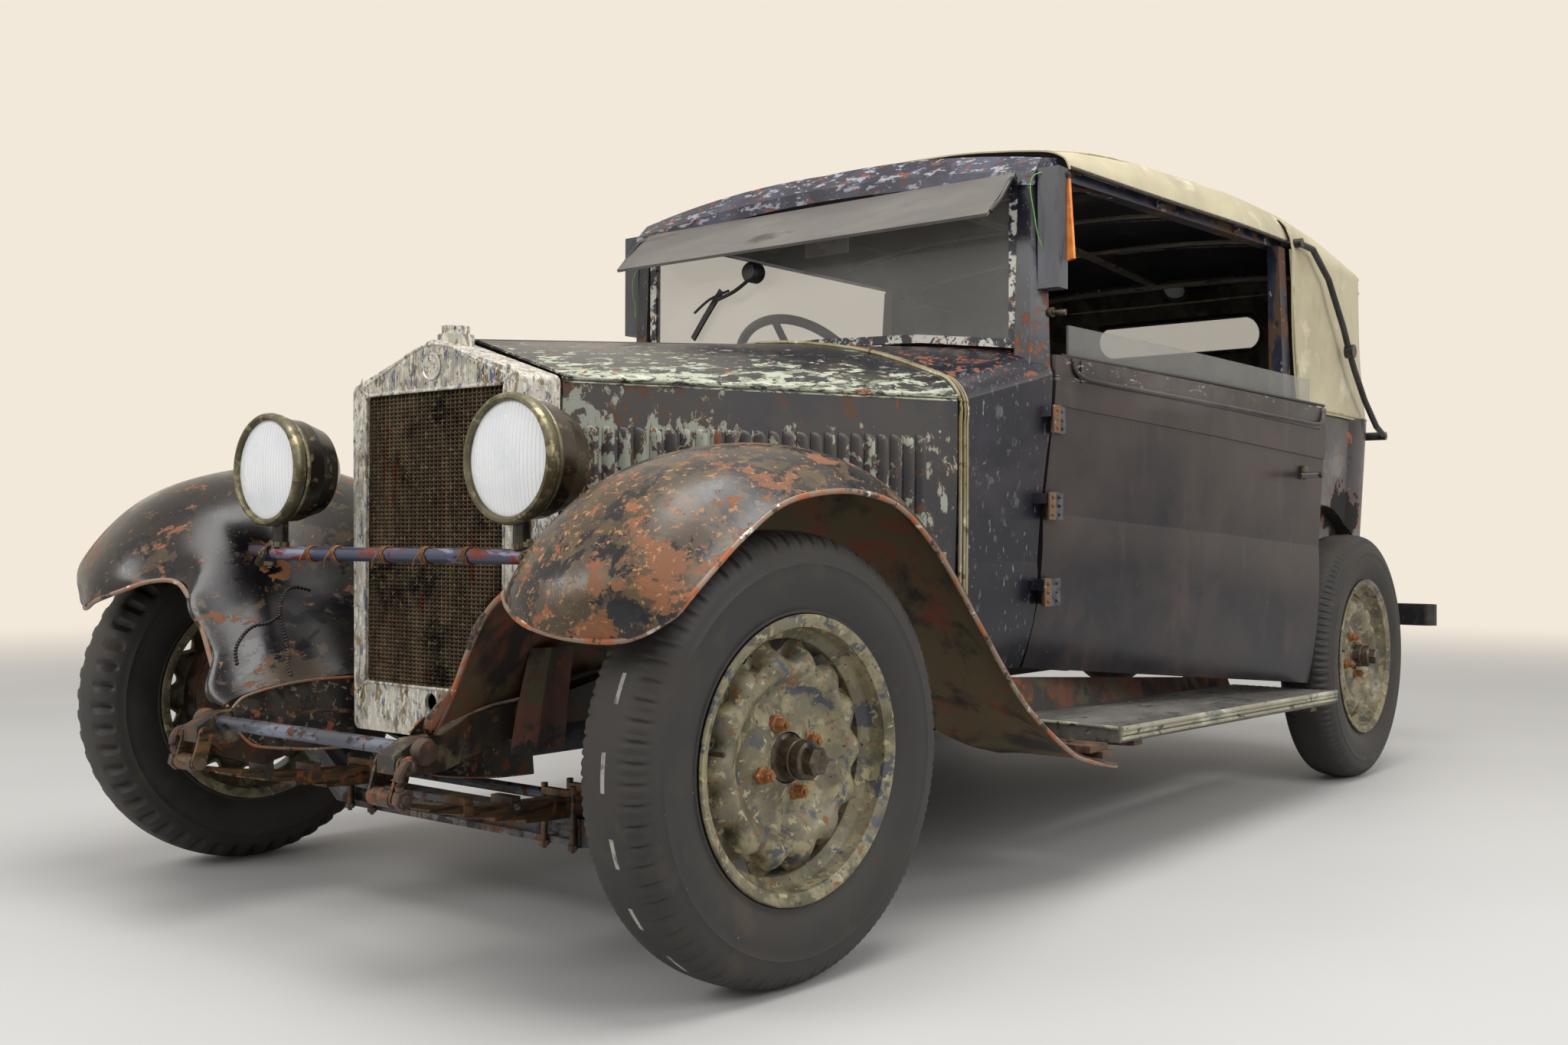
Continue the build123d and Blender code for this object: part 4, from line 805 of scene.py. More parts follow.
DRUM_ROWS = [(150, -58), (150, -10), (146, -6), (60, -3), (50, -10), (141, -15), (142, -58)]
TREAD = [(208, 48), (213, 52), (219, 56), (225, 60.5), (229, 60), (233, 62), (245, 67), (258, 71), (272, 73.4),
    (286, 74),
         (297, 73), (300, 74), (303, 72.4), (312, 71), (320, 69), (327, 66), (333, 62.5), (338, 58.5), (343,
             53), (346.5, 46),
         (349, 38), (350.6, 28), (351.6, 16), (351.8, 8), (352, 0)]


def hub_place(side, front):
    """A wheel's own point (X along the car, Y outboard, Z up) in this frame; the front ones stand steered."""
    def place(x, y, z):
        if not front:
            return P(x - WHEELBASE, side * (HALF_TRACK + y), TYRE_RADIUS + z)
        out = side * (HALF_TRACK - KINGPIN_Y + y)
        return P(x * math.cos(STEER) - out * math.sin(STEER),
                 side * KINGPIN_Y + x * math.sin(STEER) + out * math.cos(STEER), TYRE_RADIUS + z)
    return place


def lobed(r, y, a):
    """Fourteen lobes: between them the disc's edge draws in from the rim, and its raised ring dips."""
    valley = (0.5 - 0.5 * math.cos(LOBES * a)) ** 1.6
    out = min(1.0, max(0.0, (r - 128) / 40))
    edge_share = min(1.0, max(0.0, (r - 158) / 20))
    ring = 3 * (1 - valley) * out * (1 - edge_share)
    return r - valley * (19 * edge_share + 6 * out) + ring, y - valley * 14 * out * min(1, y / 30)


def wheel(place, name, body):
    """A pressed wheel on its drum, with its hub, nuts and valve."""
    w = Heap()
    w.add(lathe(RIM_ROWS, place, 112)).add(lathe(DISC_ROWS, place, 252, lobed))
    w.add(lathe(DRUM_ROWS, place, 72), 3)
    w.add(lathe(HUB_ROWS, place, 48, closed=False), 1)
    w.add(lathe([(0, 78), (23, 78), (23, 94), (19, 98), (0, 98)], place, 6, closed=False), 1)
    for i in range(NUTS):
        a = math.radians(360 / NUTS * i + FIRST_NUT)

        def at_nut(x, y, z, a=a):
            return place(NUT_CIRCLE * math.cos(a) + x, y, NUT_CIRCLE * math.sin(a) + z)
        w.add(lathe([(0, 22), (15, 22), (15, 30), (11, 32), (11, 44), (9, 47), (0, 47)], at_nut, 6, closed=False), 2)
        w.add(lathe([(0, 44), (5, 44), (5, 51), (0, 52)], at_nut, 10, closed=False), 2)

    def at_valve(x, y, z):
        return place(168 + x, y, z + 24)
    w.add(lathe([(0, 20), (4, 20), (4, 58), (3, 60), (0, 60)], at_valve, 10, closed=False), 1)
    o = w.make("pressed_wheel_" + name, wheel_paint, hub_steel, nut_rust, chassis_iron, body=body, crease=0.7)
    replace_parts(o, "wheel_" + name)


TREAD_KINDS = {"front_left": "worn", "front_right": "lugs", "rear_left": "bars", "rear_right": "bars"}
TYRE_STEPS = {"worn": 584, "lugs": 500, "bars": 440}


def tread_shape(kind):
    """How the tyres are cut: worn road blocks at the front left, lugs at the front right, fine bars behind."""
    def shape(r, y, a):
        shoulder = min(1.0, max(0.0, (abs(y) - 34) / 8)) * min(1.0, max(0.0, (r - 322) / 10))
        if kind == "worn":
            turn = (a * 73 / math.tau) % 1
            fine = (a * 438 / math.tau) % 1
            cut = 3.6 * (turn < 0.12) + 1.3 * (fine < 0.34) * (0.24 < turn < 0.90)
        elif kind == "lugs":
            turn = (a * 50 / math.tau + 0.1 * abs(y) / 60) % 1
            cut = 12.0 * max(0.0, abs(turn - 0.5) * 2 - 0.4) / 0.6
        else:
            turn = (a * 110 / math.tau) % 1
            cut = 3.6 * (turn < 0.4)
        return r - cut * shoulder, y - math.copysign(cut * shoulder * 0.35, y)
    return shape


def tyre(place, name, body, kind):
    """A tyre, with dust in dashes beside the middle of the worn one's tread."""
    rows = [(r, -y) for r, y in TREAD] + [(r, y) for r, y in reversed(TREAD[:-1])] + [(206.5, 44), (206.5, -44)]
    steps = TYRE_STEPS[kind]
    points, faces = lathe(rows, place, steps, tread_shape(kind))
    marks = [0] * len(faces)
    crown = len(TREAD) - 1
    for k in range(steps):
        if kind == "worn" and k % 29 < 11 + k // 29 % 3:
            marks[(crown + k // 29 % 2) * steps + k] = 1
    o = piece("tyre_" + kind + "_" + name, points, faces, tyre_rubber, tread_dust, marks=marks, body=body, crease=0.5)
    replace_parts(o, "tyre_" + name)


for name, (side, front) in HUBS.items():
    place = hub_place(side, front)
    wheel(place, name, "wheel_" + name)
    tyre(place, name, "wheel_" + name, TREAD_KINDS[name])


# Radiator: ribbons in upright strips, the reeded pediment and its bare badge

STRIPS, RIBBONS, STRIP, RISE = 33, 70, 398 / 33, 7.72
ribbon_rows = []
for k in range(7):
    y, z = STRIP * (k / 6 - 0.5), 1.9 * math.cos(math.tau * k / 6)
    ribbon_rows.append([Vector((x / 1000, y / 1000, (z + w) / 1000)) for x,
        w in ((0, 0.3), (-1.2, 0.75), (-9, 0.4), (-9, -0.5), (-1.2, -0.75), (0, -0.3))])
ribbon = pattern("ribbon_cell", [p for row in ribbon_rows for p in row], grid_faces(7, 6, loop_cols=True))
core = in_rows("radiator_ribbons", ribbon, core_bronze, P(75.4, -199 + STRIP / 2, 418), (0, STRIP / 1000, 0), STRIPS,
               (0, 0, RISE / 1000), RIBBONS)
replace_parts(core, "radiator_core")
wall = pattern("strip_wall", [Vector((x / 1000, y / 1000, z / 1000)) for x in (-10, 0) for y in (-0.45,
    0.45) for z in (0, 545)],
               BOX_FACES)
in_rows("radiator_strip_walls", wall, core_bronze, P(75.0, -199, 415), (0, STRIP / 1000, 0), STRIPS + 1)
# A near-black block behind the ribbons: painted shade in the depth of the core.
Heap().add(brick(14, 66, -221, 221, 400, 966)).make("radiator_tubes", core_shadow)


def roof_line(y):
    """The height of the pediment's slopes."""
    return 1054 - 77 * abs(y) / 241


crest = Heap()
for k in range(-40, 41):
    y = k * 5.1
    low, high = 967, roof_line(y) - 12
    if abs(y) < 27:
        crest.add(tube([(84, y, low), (84, y, 1003 - math.sqrt(29 ** 2 - y * y))], 1.9, 6, 1))
        low = 1003 + math.sqrt(29 ** 2 - y * y)
    if high > low + 3:
        crest.add(tube([(84, y, low), (84, y, high)], 1.9, 6, 1))
crest.add(tube([(83, -210, 962), (83, -212, 972), (84, -160, 994), (84, 0, 1045), (84, 160, 994), (83, 212, 972),
    (83, 210, 962)], 3.0, 8, 6))
crest.add(tube([(84, -199, 424), (84, -199, 951), (84, -190, 960), (84, 190, 960), (84, 199, 951), (84, 199, 424),
    (84, 190, 415),
                (84, -190, 415)], 3.0, 8, 3, closed=True))
crest.make("radiator_reeding", shell_plate)
badge = lathe([(0, 0), (25, 0), (26, 2.5), (24, 4), (21.5, 2.6), (19, 2.4), (0, 3)], lambda x, y,
    z: P(84.4 + y, x, 1003 + z), 48, closed=False)
Heap().add(badge).make("radiator_badge_blank", badge_enamel)

# Headlamps: rims, fluted glasses, silvered bowls and bulbs

LAMP_X, LAMP_Y, LAMP_Z, FLUTE, LENS_STEPS = 201, 347, 819, 8.5, 160
lamp_trim, glasses = Heap(), Heap()
for _, side in SIDES:
    def lamp_place(x, y, z, side=side):
        return P(LAMP_X + y, side * LAMP_Y + x, LAMP_Z + z)

    lamp_trim.add(lathe([(94, -2), (95, 6), (99, 9.5), (104, 9), (108, 4), (109, -4), (107.5, -12), (104, -17),
        (100, -17), (98, -6)], lamp_place, 96))
    lamp_trim.add(lathe([(101.5, -20), (103.5, -24), (101.5, -28), (99.5, -24)], lamp_place, 72))
    lamp_trim.add(lathe([(93.5, -6), (84, -32), (66, -58), (40, -80), (12, -90), (0, -91), (0, -92), (40, -82),
        (68, -60), (87, -32), (95.6, -7)], lamp_place, 64), 1)
    lamp_trim.add(lathe([(0, -40), (11, -44), (15, -56), (11, -68), (7, -88), (0, -88)], lamp_place, 20,
        closed=False), 2)
    lamp_trim.add(lathe([(0, -150), (20, -149), (26, -136), (24, -122), (0, -122)], lamp_place, 24, closed=False), 3)
    rows = [(r, 9 - 9 * (r / 95) ** 2) for r in (0, 6, 12, 18, 24, 30, 36, 42, 48, 54, 60, 66, 72, 78, 84, 90, 95.5)]

    def fluted(r, y, a):
        return r, y + 1.3 * abs(math.sin(math.pi * r * math.cos(a) / FLUTE)) * (1 - (r / 96) ** 6)

    front = lathe(rows, lamp_place, LENS_STEPS, fluted, closed=False)
    back = lathe([(r, y - 3.5) for r, y in rows], lamp_place, LENS_STEPS, closed=False)
    n = len(front[0])
    ring = n - LENS_STEPS
    rim = [[ring + k, ring + (k + 1) % LENS_STEPS, ring + n + (k + 1) % LENS_STEPS,
        ring + n + k] for k in range(LENS_STEPS)]
    glasses.add((front[0] + back[0], front[1] + [[i + n for i in reversed(f)] for f in back[1]] + rim))
lamp_trim.make("headlamp_rims_and_bowls", lamp_brass, reflector, bulb_glass, lamp_lacquer)
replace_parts(glasses.make("fluted_headlamp_glasses", lens_glass), "headlamp_glasses")

wraps = Heap()
for y in (-246, -166, -20, 96, 208):
    for k in range(3):
        wraps.add(tube([(172 + 15 * math.cos(t), y + 5 * k + t * 0.7,
            659 + 15 * math.sin(t)) for t in [math.tau * q / 10 for q in range(11)]], 1.6, 6, 2))
    wraps.add(tube([(186, y, 662), (192, y - 6, 650), (190, y - 12, 634)], 1.4, 6, 3))
wraps.make("lamp_bar_wire_wraps", binding_wire)
ends = Heap()
for side in (1, -1):
    for at, along, r in (((172, side * 366, 676), (0, 0, 1), 11), ((172, side * 384, 642), (0, 0, -1), 11),
            ((189, side * 375, 659), (1, 0, 0), 9)):
        ends.add(bolt(at, along, r, 8))
    ends.add(bolt((172, side * 347, 672), (0, 0, 1), 17, 10, 6))
    ends.add(tube([(172, side * 386, 659), (170, side * 404, 654), (167, side * 428, 640), (164, side * 440, 622)], 9,
        10, 4))
ends.make("lamp_bar_brackets", lamp_brass)

# Front fenders: the rolled edge, a stay and the welded patches on the valance

EDGE = [(312, 301, 378), (312, 345, 441), (312, 388, 518), (314, 432, 577), (318, 474, 606), (350, 512, 606),
        (380, 560, 588), (398, 620, 568), (380, 690, 552), (348, 765, 552), (316, 820, 584), (298, 840, 614), (256,
            846, 651),
        (198, 848, 694), (113, 848, 741), (20, 848, 761), (-90, 848, 764), (-203, 848, 739), (-322, 848, 658), (-449,
            848, 533),
        (-598, 848, 391), (-770, 847, 286), (-866, 846, 254), (-976, 844, 232)]
edges = Heap()
for side in (1, -1):
    edges.add(tube([(x, side * (y - 3), z - 1.5) for x, y, z in EDGE], 4.6, 10, 6))
edges.make("fender_rolled_edges", rolled_edge)

# The far fender has been patched from behind: lines of weld beads stand on its inner face
WELDS = ([(149, -379, 571), (164, -362, 540), (168, -343, 510), (170, -325, 479), (181, -308, 449), (183, -295, 429)],
         [(271, -335, 453), (265, -349, 478), (245, -359, 502), (220, -362, 520), (191, -358, 525), (165, -360, 538)],
         [(149, -379, 571), (132, -386, 587), (111, -384, 592), (90, -375, 586)])
for k, seam in enumerate(WELDS):
    bead = pattern("weld_bead", *lathe([(0, 2.2), (2.2, 1.6), (3.4, 0), (2.2, -1.6), (0, -2.2)], lambda x, y,
        z: Vector((x * 1.15, y, z)) / 1000, 8, closed=False))
    along_path("fender_weld_beads_%d" % (k + 1), bead, fender_lacquer,
        smooth_path([(x, y + 1.5, z + 1) for x, y, z in seam], 6), 0.0068)

# Under the nose: ogee covers on the frame horns, a folded brace to the left fender, the pan below the engine
HORN_TOP = [(66, 419), (140, 420), (202, 417), (260, 409), (304, 398), (326, 380)]
HORN_LOW = [(66, 284), (140, 287), (189, 292), (250, 301), (287, 311), (322, 345)]
for name, side in SIDES:
    cover = Heap()
    grid = []
    top = smooth_path([(x, 0, z) for x, z in HORN_TOP], 5)
    low = smooth_path([(x, 0, z) for x, z in HORN_LOW], 5)
    for k in range(7):
        t = k / 6
        bulge = 5 * math.sin(math.pi * t)
        grid.append([P(a.x + (b.x - a.x) * t, side * (258.5 - bulge), a.z + (b.z - a.z) * t) for a,
            b in zip(top, low)])
    cover.add(slab(grid, 0.002 * side))
    cover.add(tube([(p.x, side * 258, p.z) for p in top], 2.6, 8, 1), 1)
    cover.add(tube([(p.x, side * 258, p.z) for p in low], 2.6, 8, 1), 1)
    cover.make("frame_horn_cover_" + name, cover_lacquer, rolled_edge)
grid = []
for z, columns in ((332, ((166, 312), (128, 332), (92, 314), (50, 318))),
    (400, ((158, 318), (122, 338), (88, 320), (48, 322))),
                   (460, ((150, 328), (118, 346), (84, 328), (46, 328))), (508,
                           ((146, 338), (112, 352), (80, 338), (44, 334)))):
    grid.append([P(x, y, z) for x, y in columns])
Heap().add(slab(grid, 0.0025)).make("fender_brace", apron_paint, crease=0.3)
grid = []
for x in (52, 20, -40, -110, -190, -268):
    grid.append([P(x, y, z + (0 if x < 40 else 18)) for y, z in ((-256, 366), (-236, 330), (-190, 300), (-100, 288),
        (0, 285), (100, 288), (190, 300), (236, 330), (256, 366))])
Heap().add(slab(grid, 0.002)).make("engine_pan", tar_black)

# Bonnet: rounded louvre hoods over the slots, and the beaded moulding at its rear edge

REARWARD, OUTWARD = Vector((-0.9357, 0.3529, 0)), Vector((0.3529, 0.9357, 0))


def hood_pattern(side):
    """A louvre's hood, standing outwards and open to the rear."""
    rows, section = [], [(2, 0), (-1, 2.4), (-5, 5.8), (-10, 8.6), (-15, 9.8), (-17.5, 9.9), (-17.5, 8.7), (-14, 8.4),
        (-9, 7.0), (-4, 3.6), (0, 0)]
    for z, share in ((-2, 0.0), (0, 0.35), (4, 0.75), (10, 0.97), (40, 1), (260, 1), (290, 0.97), (296, 0.75),
            (300, 0.35), (302, 0.0)):
        row = []
        for along, lift in section:
            v = -REARWARD * along * (0.5 + 0.5 * share) + OUTWARD * lift * share
            row.append(Vector((v.x, side * v.y, z)) / 1000)
        rows.append(row)
    return pattern("louvre_hood", [p for r in rows for p in r], grid_faces(len(rows), len(section), loop_cols=True))


for name, side in SIDES:
    start = P(-61, side * 256.5, 590)
    in_rows("bonnet_louvres_" + name, hood_pattern(side), bonnet_side_lacquer, start,
            (-0.029565, side * 0.01115, 0.00045), 24, body="bonnet_side_" + name)
    seam = [(-22, side * 240.5, 978), (-300, side * 344, 981), (-600, side * 458, 984), (-836, side * 548, 987)]
    Heap().add(tube(seam, 5.2, 10, 4)).add(tube([(x, y, z - 9) for x, y, z in seam], 2.2, 8, 4)).make(
        "bonnet_edge_bead_" + name, bonnet_top_lacquer, body="bonnet_top_" + name)

SCUTTLE_ROW = [(0, 1138), (280, 1104), (478, 1040), (525, 1016), (549, 978), (549, 930), (549, 880), (549, 748),
    (548, 640), (546, 520), (538, 424)]
arch = [(-y, z) for y, z in reversed(SCUTTLE_ROW)][:-1] + SCUTTLE_ROW
beads = Heap()
for x, r, lift in ((-845.5, 4.2, 3.2), (-858, 3.4, 5.0), (-869, 4.2, 4.0)):
    path = []
    for y, z in arch:
        out = Vector((0, y, (z - 700) * 1.2)).normalized() if abs(y) < 540 else Vector((0, math.copysign(1, y), 0))
        path.append((x, y + out.y * lift, z + out.z * lift))
    beads.add(tube(path, r, 8, 4))
beads.make("cowl_beaded_moulding", moulding_brass)

# Doors: strap hinges, belt mouldings, glass channel and the handle's plate

AJAR = math.radians(6)
HINGE_X, HINGE_Z, LEAF_HALF, LEAF_BOLTS = -1090, (950, 762, 574), 30, (-19, 0, 19)


def hinge_y(z):
    """How far out the door's hinge line lies, which leans with the body's side."""
    return 618 + (z - 575) * 22 / 375


def swung(side):
    """A point on the closed left door, moved to where that door stands: ajar on the left, shut on the right."""
    def place(x, y, z):
        if side < 0:
            return Vector((x, -y, z))
        hinge = Vector((HINGE_X, hinge_y(z), z))
        v = Vector((x, y, z)) - hinge
        return hinge + Vector((v.x * math.cos(AJAR) + v.y * math.sin(AJAR),
            -v.x * math.sin(AJAR) + v.y * math.cos(AJAR), 0))
    return place


def belt_y(x):
    """How far out the belt line lies."""
    table = [(-842, 548), (-1094, 640), (-1700, 684), (-2330, 700), (-2800, 690), (-3130, 650)]
    for (xa, ya), (xb, yb) in zip(table, table[1:]):
        if x >= xb:
            return ya + (yb - ya) * (x - xa) / (xb - xa)
    return 650


def belt_z(x):
    """The belt line's height."""
    return 1092 + (1050 - 1092) * (x + 1094) / -1228


for name, side in SIDES:
    place = swung(side)
    trim = Heap()
    line = []
    for x, dz, dy in ((-1150, -2, 1), (-1152, -16, 3), (-1160, -30, 4.5), (-1182, -41, 5.5), (-1240, -46, 5.5),
        (-1500, -49, 5.5), (-1800, -52, 5.5),
                      (-2100, -54, 5.5), (-2215, -54, 5.5), (-2246, -46, 5), (-2256, -28, 4), (-2258, -6, 1)):
        line.append(place(x, belt_y(x) + dy - 1.5, belt_z(x) + dz))
    trim.add(tube([tuple(v) for v in line], 5.5, 10, 5))
    lip = [tuple(place(x, belt_y(x) - 6, belt_z(x) + 1.5)) for x in (-1116, -1400, -1700, -2000, -2280)]
    trim.add(tube(lip, 4.0, 8, 4), 1)
    inner = [tuple(place(x, belt_y(x) - 30, belt_z(x) + 0.5)) for x in (-1118, -1400, -1700, -2000, -2280)]
    trim.add(tube(inner, 4.0, 8, 4), 1)
    for z in HINGE_Z:
        y = belt_y(-1110) - (1090 - z) * 0.03
        grid = [[P(*place(-1098 - dx, y + 2, z + dz)) for dz in (-LEAF_HALF, LEAF_HALF)] for dx in (0, 34)]
        trim.add(slab(grid, 0.004 * side), 2)
        for dz in LEAF_BOLTS:
            trim.add(bolt(tuple(place(-1118, y + 3, z + dz)), (0, side, 0), 3.4, 2.0, 8), 2)
    root = place(-2170, belt_y(-2170) - 6, 868)
    trim.add(bolt(tuple(root), (0.1 * side, side, 0), 19, 5, 20), 3)
    trim.make("door_trim_" + name, door_lacquer, black_trim, hinge_steel, hub_steel, body="door_" + name)

    # The lock pillar behind the door's rear edge, so that no light comes through the slit
    post = [[P(x, side * (y + dy), z) for x, dy in ((-2322, 18), (-2304, 2), (-2262, 0))] for z,
        y in ((480, 622), (700, 629), (900, 640), (1052, 650))]
    Heap().add(slab(post, 0.006 * side)).make("lock_pillar_" + name, post_enamel, crease=0.3)

    leaves = Heap()
    for z in HINGE_Z:
        y = hinge_y(z + 12)
        grid = [[P(x, side * (y + dy), z + dz) for dz in (-LEAF_HALF, LEAF_HALF)] for x,
            dy in ((-1062, 13), (-1086, 16))]
        leaves.add(slab(grid, 0.004 * side))
        leaves.add(bar((HINGE_X, side * y, z - LEAF_HALF), (HINGE_X, side * (y + 1.5), z + LEAF_HALF), 11, 16))
        for dz in LEAF_BOLTS:
            leaves.add(bolt((-1073, side * (y + 16), z + dz), (0, side, 0), 3.4, 2.0, 8))
    leaves.add(bolt((-1098, side * 625, 1186), (0.2, side, 0), 11, 7, 16), 1)
    leaves.add(bar((-1098, side * 628, 1186), (-1106, side * 658, 1184), 7, 12), 1)
    leaves.make("door_hinge_leaves_" + name, hinge_strap, hub_steel)

# Canvas: the roof sheet sags between its bows, and the curtain hangs round the back; dark lining inside

ROOF = [(-1181, 1598, 1590, 1556, 622), (-1700, 1612, 1602, 1560, 650), (-2380, 1616, 1606, 1568, 672),
        (-2800, 1592, 1580, 1540, 672), (-3044, 1550, 1542, 1508, 659)]
BOWS = (-1181, -1640, -2080, -2520, -2960)


def eased(rows, x):
    """The values of rows at x, along a smooth curve through them."""
    for i, (a, b) in enumerate(zip(rows, rows[1:])):
        if x >= b[0] or b is rows[-1]:
            before, after = rows[max(i - 1, 0)], rows[min(i + 2, len(rows) - 1)]
            t = (x - a[0]) / (b[0] - a[0])
            return [0.5 * (2 * q + (r - p) * t + (2 * p - 5 * q + 4 * r - s) * t * t + (3 * q - p - 3 * r + s) * t ** 3)
                    for p, q, r, s in zip(before[1:], a[1:], b[1:], after[1:])]


def roof_row(x, lift=0.0):
    """The bare roof's outline across the car at x."""
    zc, zm, ze, yw = eased(ROOF, x)
    half = [(0, zc), (yw * 0.5, zm + (zc - zm) * 0.4), (yw * 0.86, ze + 16), (yw * 0.97, ze - 8),
        (yw * 1.001, ze - 42)]
    row = [(-y, z) for y, z in reversed(half)][:-1] + half
    return smooth_path([(x, y, z + lift) for y, z in row], 9)


def creases(v, size, depth, stretch):
    """The depth of a cloth's unevenness at a point; a small stretch draws it out along that axis."""
    return depth * noise.noise(Vector([c / size * s for c, s in zip(v, stretch)]))


LOFT = [(-1184, -3), (-1300, 14), (-1450, 28), (-1700, 37), (-2050, 41), (-2380, 37), (-2700, 33), (-3044, 15)]


def cloth_row(x):
    """The roof cloth's outline across the car at x, puffed up above the bows."""
    loft = eased(LOFT, x)[0]
    row = []
    for p in roof_row(x, 3.0):
        share = min(1, abs(p.y) / eased(ROOF, x)[3])
        full = 0.8 + 0.45 * math.exp(-((share - 0.84) / 0.16) ** 2)
        edge = 1 - max(0, (share - 0.93) / 0.07) ** 1.5
        row.append(Vector((p.x, p.y + math.copysign(0.16 * loft * max(0.0, share - 0.7), p.y),
            p.z + loft * full * max(0.0, edge))))
    return row


def cloth_marks(grid, faces, front):
    """The slots of a cloth's faces: front on the grid's own side, the other of 0 and 1 behind it, and 0 at the rim."""
    count = (len(grid) - 1) * (len(grid[0]) - 1)
    return [front] * count + [1 - front] * count + [0] * (len(faces) - 2 * count)


roof_grid = []
for k in range(86):
    x = -1184 - (3044 - 1184) * k / 85
    near = next((a, b) for a, b in zip(BOWS, BOWS[1:] + (-3044,)) if x >= b)
    share = (x - near[0]) / (near[1] - near[0])
    sag = 11 * math.sin(math.pi * share) ** 1.4 * (near[1] - near[0]) / -460
    row = []
    for p in cloth_row(x):
        level = 1 - min(1, abs(p.y) / 640) ** 3
        edge_lift = 3.0 * math.sin(math.pi * share) * (abs(p.y) / 660) ** 2
        dz = -sag * level + creases(p, 210, 2.6, (0.35, 1, 1)) + creases(p, 60, 0.9, (0.4, 1, 1))
        row.append(P(p.x, p.y - math.copysign(edge_lift, p.y), p.z + dz))
    roof_grid.append(row)
points, faces = slab(roof_grid, 0.0035)
roof = piece("canvas_roof_cloth", points, faces, canvas_cloth, lining_cloth, marks=cloth_marks(roof_grid, faces, 1),
    crease=1.2)
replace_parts(roof, "canvas_roof")


def cloth_height(x, y):
    """The roof cloth's height at a point."""
    row = cloth_row(max(min(x, -1184), -3044))
    return min(row, key=lambda p: abs(p.y - y)).z


U_TOP = [(-2376, 676), (-2560, 678), (-2860, 674), (-3000, 650), (-3052, 520), (-3066, 260), (-3070, 0)]
U_BELT = [(-2376, 704), (-2560, 703), (-2860, 695), (-3085, 664), (-3175, 522), (-3201, 262), (-3209, 0)]


def round_plan(row):
    """A half outline, from the left side to the middle of the back, drawn round to the right side."""
    return smooth_path([(x, y, 0) for x, y in row + [(x, -y) for x, y in reversed(row[:-1])]], 9)


low, high = round_plan(U_BELT), round_plan(U_TOP)
curtain_grid = []
for k in range(31):
    t = k / 30
    row = []
    for a, b in zip(low, high):
        v = a + (b - a) * t
        out = Vector((v.x + 2600, v.y * 1.6, 0)).normalized() if abs(v.y) < 640 else Vector((0, math.copysign(1, v.y),
            0))
        slack = 7 * math.sin(math.pi * t)
        fold = creases((v.x, v.y, 1062 + 450 * t), 130, 5.5, (1, 1, 0.22)) * (0.35 + 0.65 * math.sin(math.pi * t))
        v = v - out * (slack - fold - 4 - 13 * t)
        row.append(P(v.x, v.y, 1058 + 452 * t))
    curtain_grid.append(row)
for k, (over, up) in enumerate(((0.12, 0.35), (0.40, 0.72), (0.75, 0.94), (1.0, 1.0))):
    row = []
    for i, p in enumerate(high):
        x, y = max(p.x, -3040.0), p.y * (0.955 if abs(p.y) > 400 else 0.99)
        top = cloth_height(x, y) + 4
        start = curtain_grid[30][i]
        row.append(start.lerp(P(x, y, top), over) + Vector((0, 0, (top / 1000 - start.z) * (up - over))))
    curtain_grid.append(row)
points, faces = slab(curtain_grid, -0.0035)
curtain = piece("canvas_back_curtain", points, faces, canvas_cloth, back_lining,
    marks=cloth_marks(curtain_grid, faces, 0), crease=1.2)


def window_edge(a):
    """The rear window's rounded outline, (y, z), by its angle."""
    return 18 + math.copysign(246, math.cos(a)) + 54 * math.cos(a), 1389 + 56 * math.sin(a)


RING = 48
cutter_points = [P(x, *window_edge(math.tau * k / RING)) for x in (-3300, -3000) for k in range(RING)]
cutter = show("window_cutter", bpy.data.meshes.new("window_cutter"))
cutter.data.from_pydata(cutter_points, [], prism_faces(RING))
tidy(cutter)
cut = curtain.modifiers.new("window", "BOOLEAN")
cut.operation, cut.solver, cut.object = "DIFFERENCE", "EXACT", cutter
bpy.context.view_layer.update()
opened = as_seen(curtain)
curtain.modifiers.clear()
curtain.data = opened
bpy.data.objects.remove(cutter)
tidy(curtain, 1.2)
wear(curtain, canvas_cloth, back_lining)
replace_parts(curtain, "canvas_curtain")

# On the canvas: seams, the bound edges with their nails, the window's frame and pane, and the lamp under the roof

def roof_edge(side, out):
    """Points along the roof's lower edge, this far outside it."""
    return [(x, side * (eased(ROOF, x)[3] + out), eased(ROOF, x)[2] - 36) for x in (-1190, -1500, -1800, -2100,
        -2376)]


rolls = Heap()
for side in (1, -1):
    rolls.add(tube(roof_edge(side, 3), 5.5, 8, 5))
    along = [(v.x, side * v.y * 1.004, 1068) for v in low[:len(low) // 2 - 3]]
    rolls.add(tube([tuple(v) for v in along[::4]], 5.0, 8, 5), 1)
    rolls.add(tube([(-2384, side * 684, 1512), (-2383, side * 697, 1290), (-2382, side * 708, 1068)], 5.0, 8, 4), 1)
    ridge = [min((p for p in cloth_row(x) if p.y * side > 0), key=lambda p: abs(abs(p.y) - 0.9 * eased(ROOF, x)[3]))
             for x in (-1190, -1400, -1600, -1800, -2000, -2200, -2400, -2600, -2800, -3030)]
    rolls.add(tube([(p.x, p.y, p.z + 1.0) for p in ridge], 2.6, 8, 5), 1)
rolls.add(tube([(v.x - 12, v.y * 1.018, 1506) for v in high[::3]], 4.0, 8, 4), 1)
rolls.make("canvas_binding", black_trim, binding_tape, crease=1.0)
for name, side in SIDES:
    nail = pattern("binding_nail", *lathe([(0, 3), (3.4, 2), (4.2, 0), (0, 0)], lambda x, y,
        z: Vector((x, side * y, z)) / 1000, 8, closed=False))
    along_path("binding_nails_" + name, nail, nut_rust, smooth_path(roof_edge(side, 8), 8), 0.045)

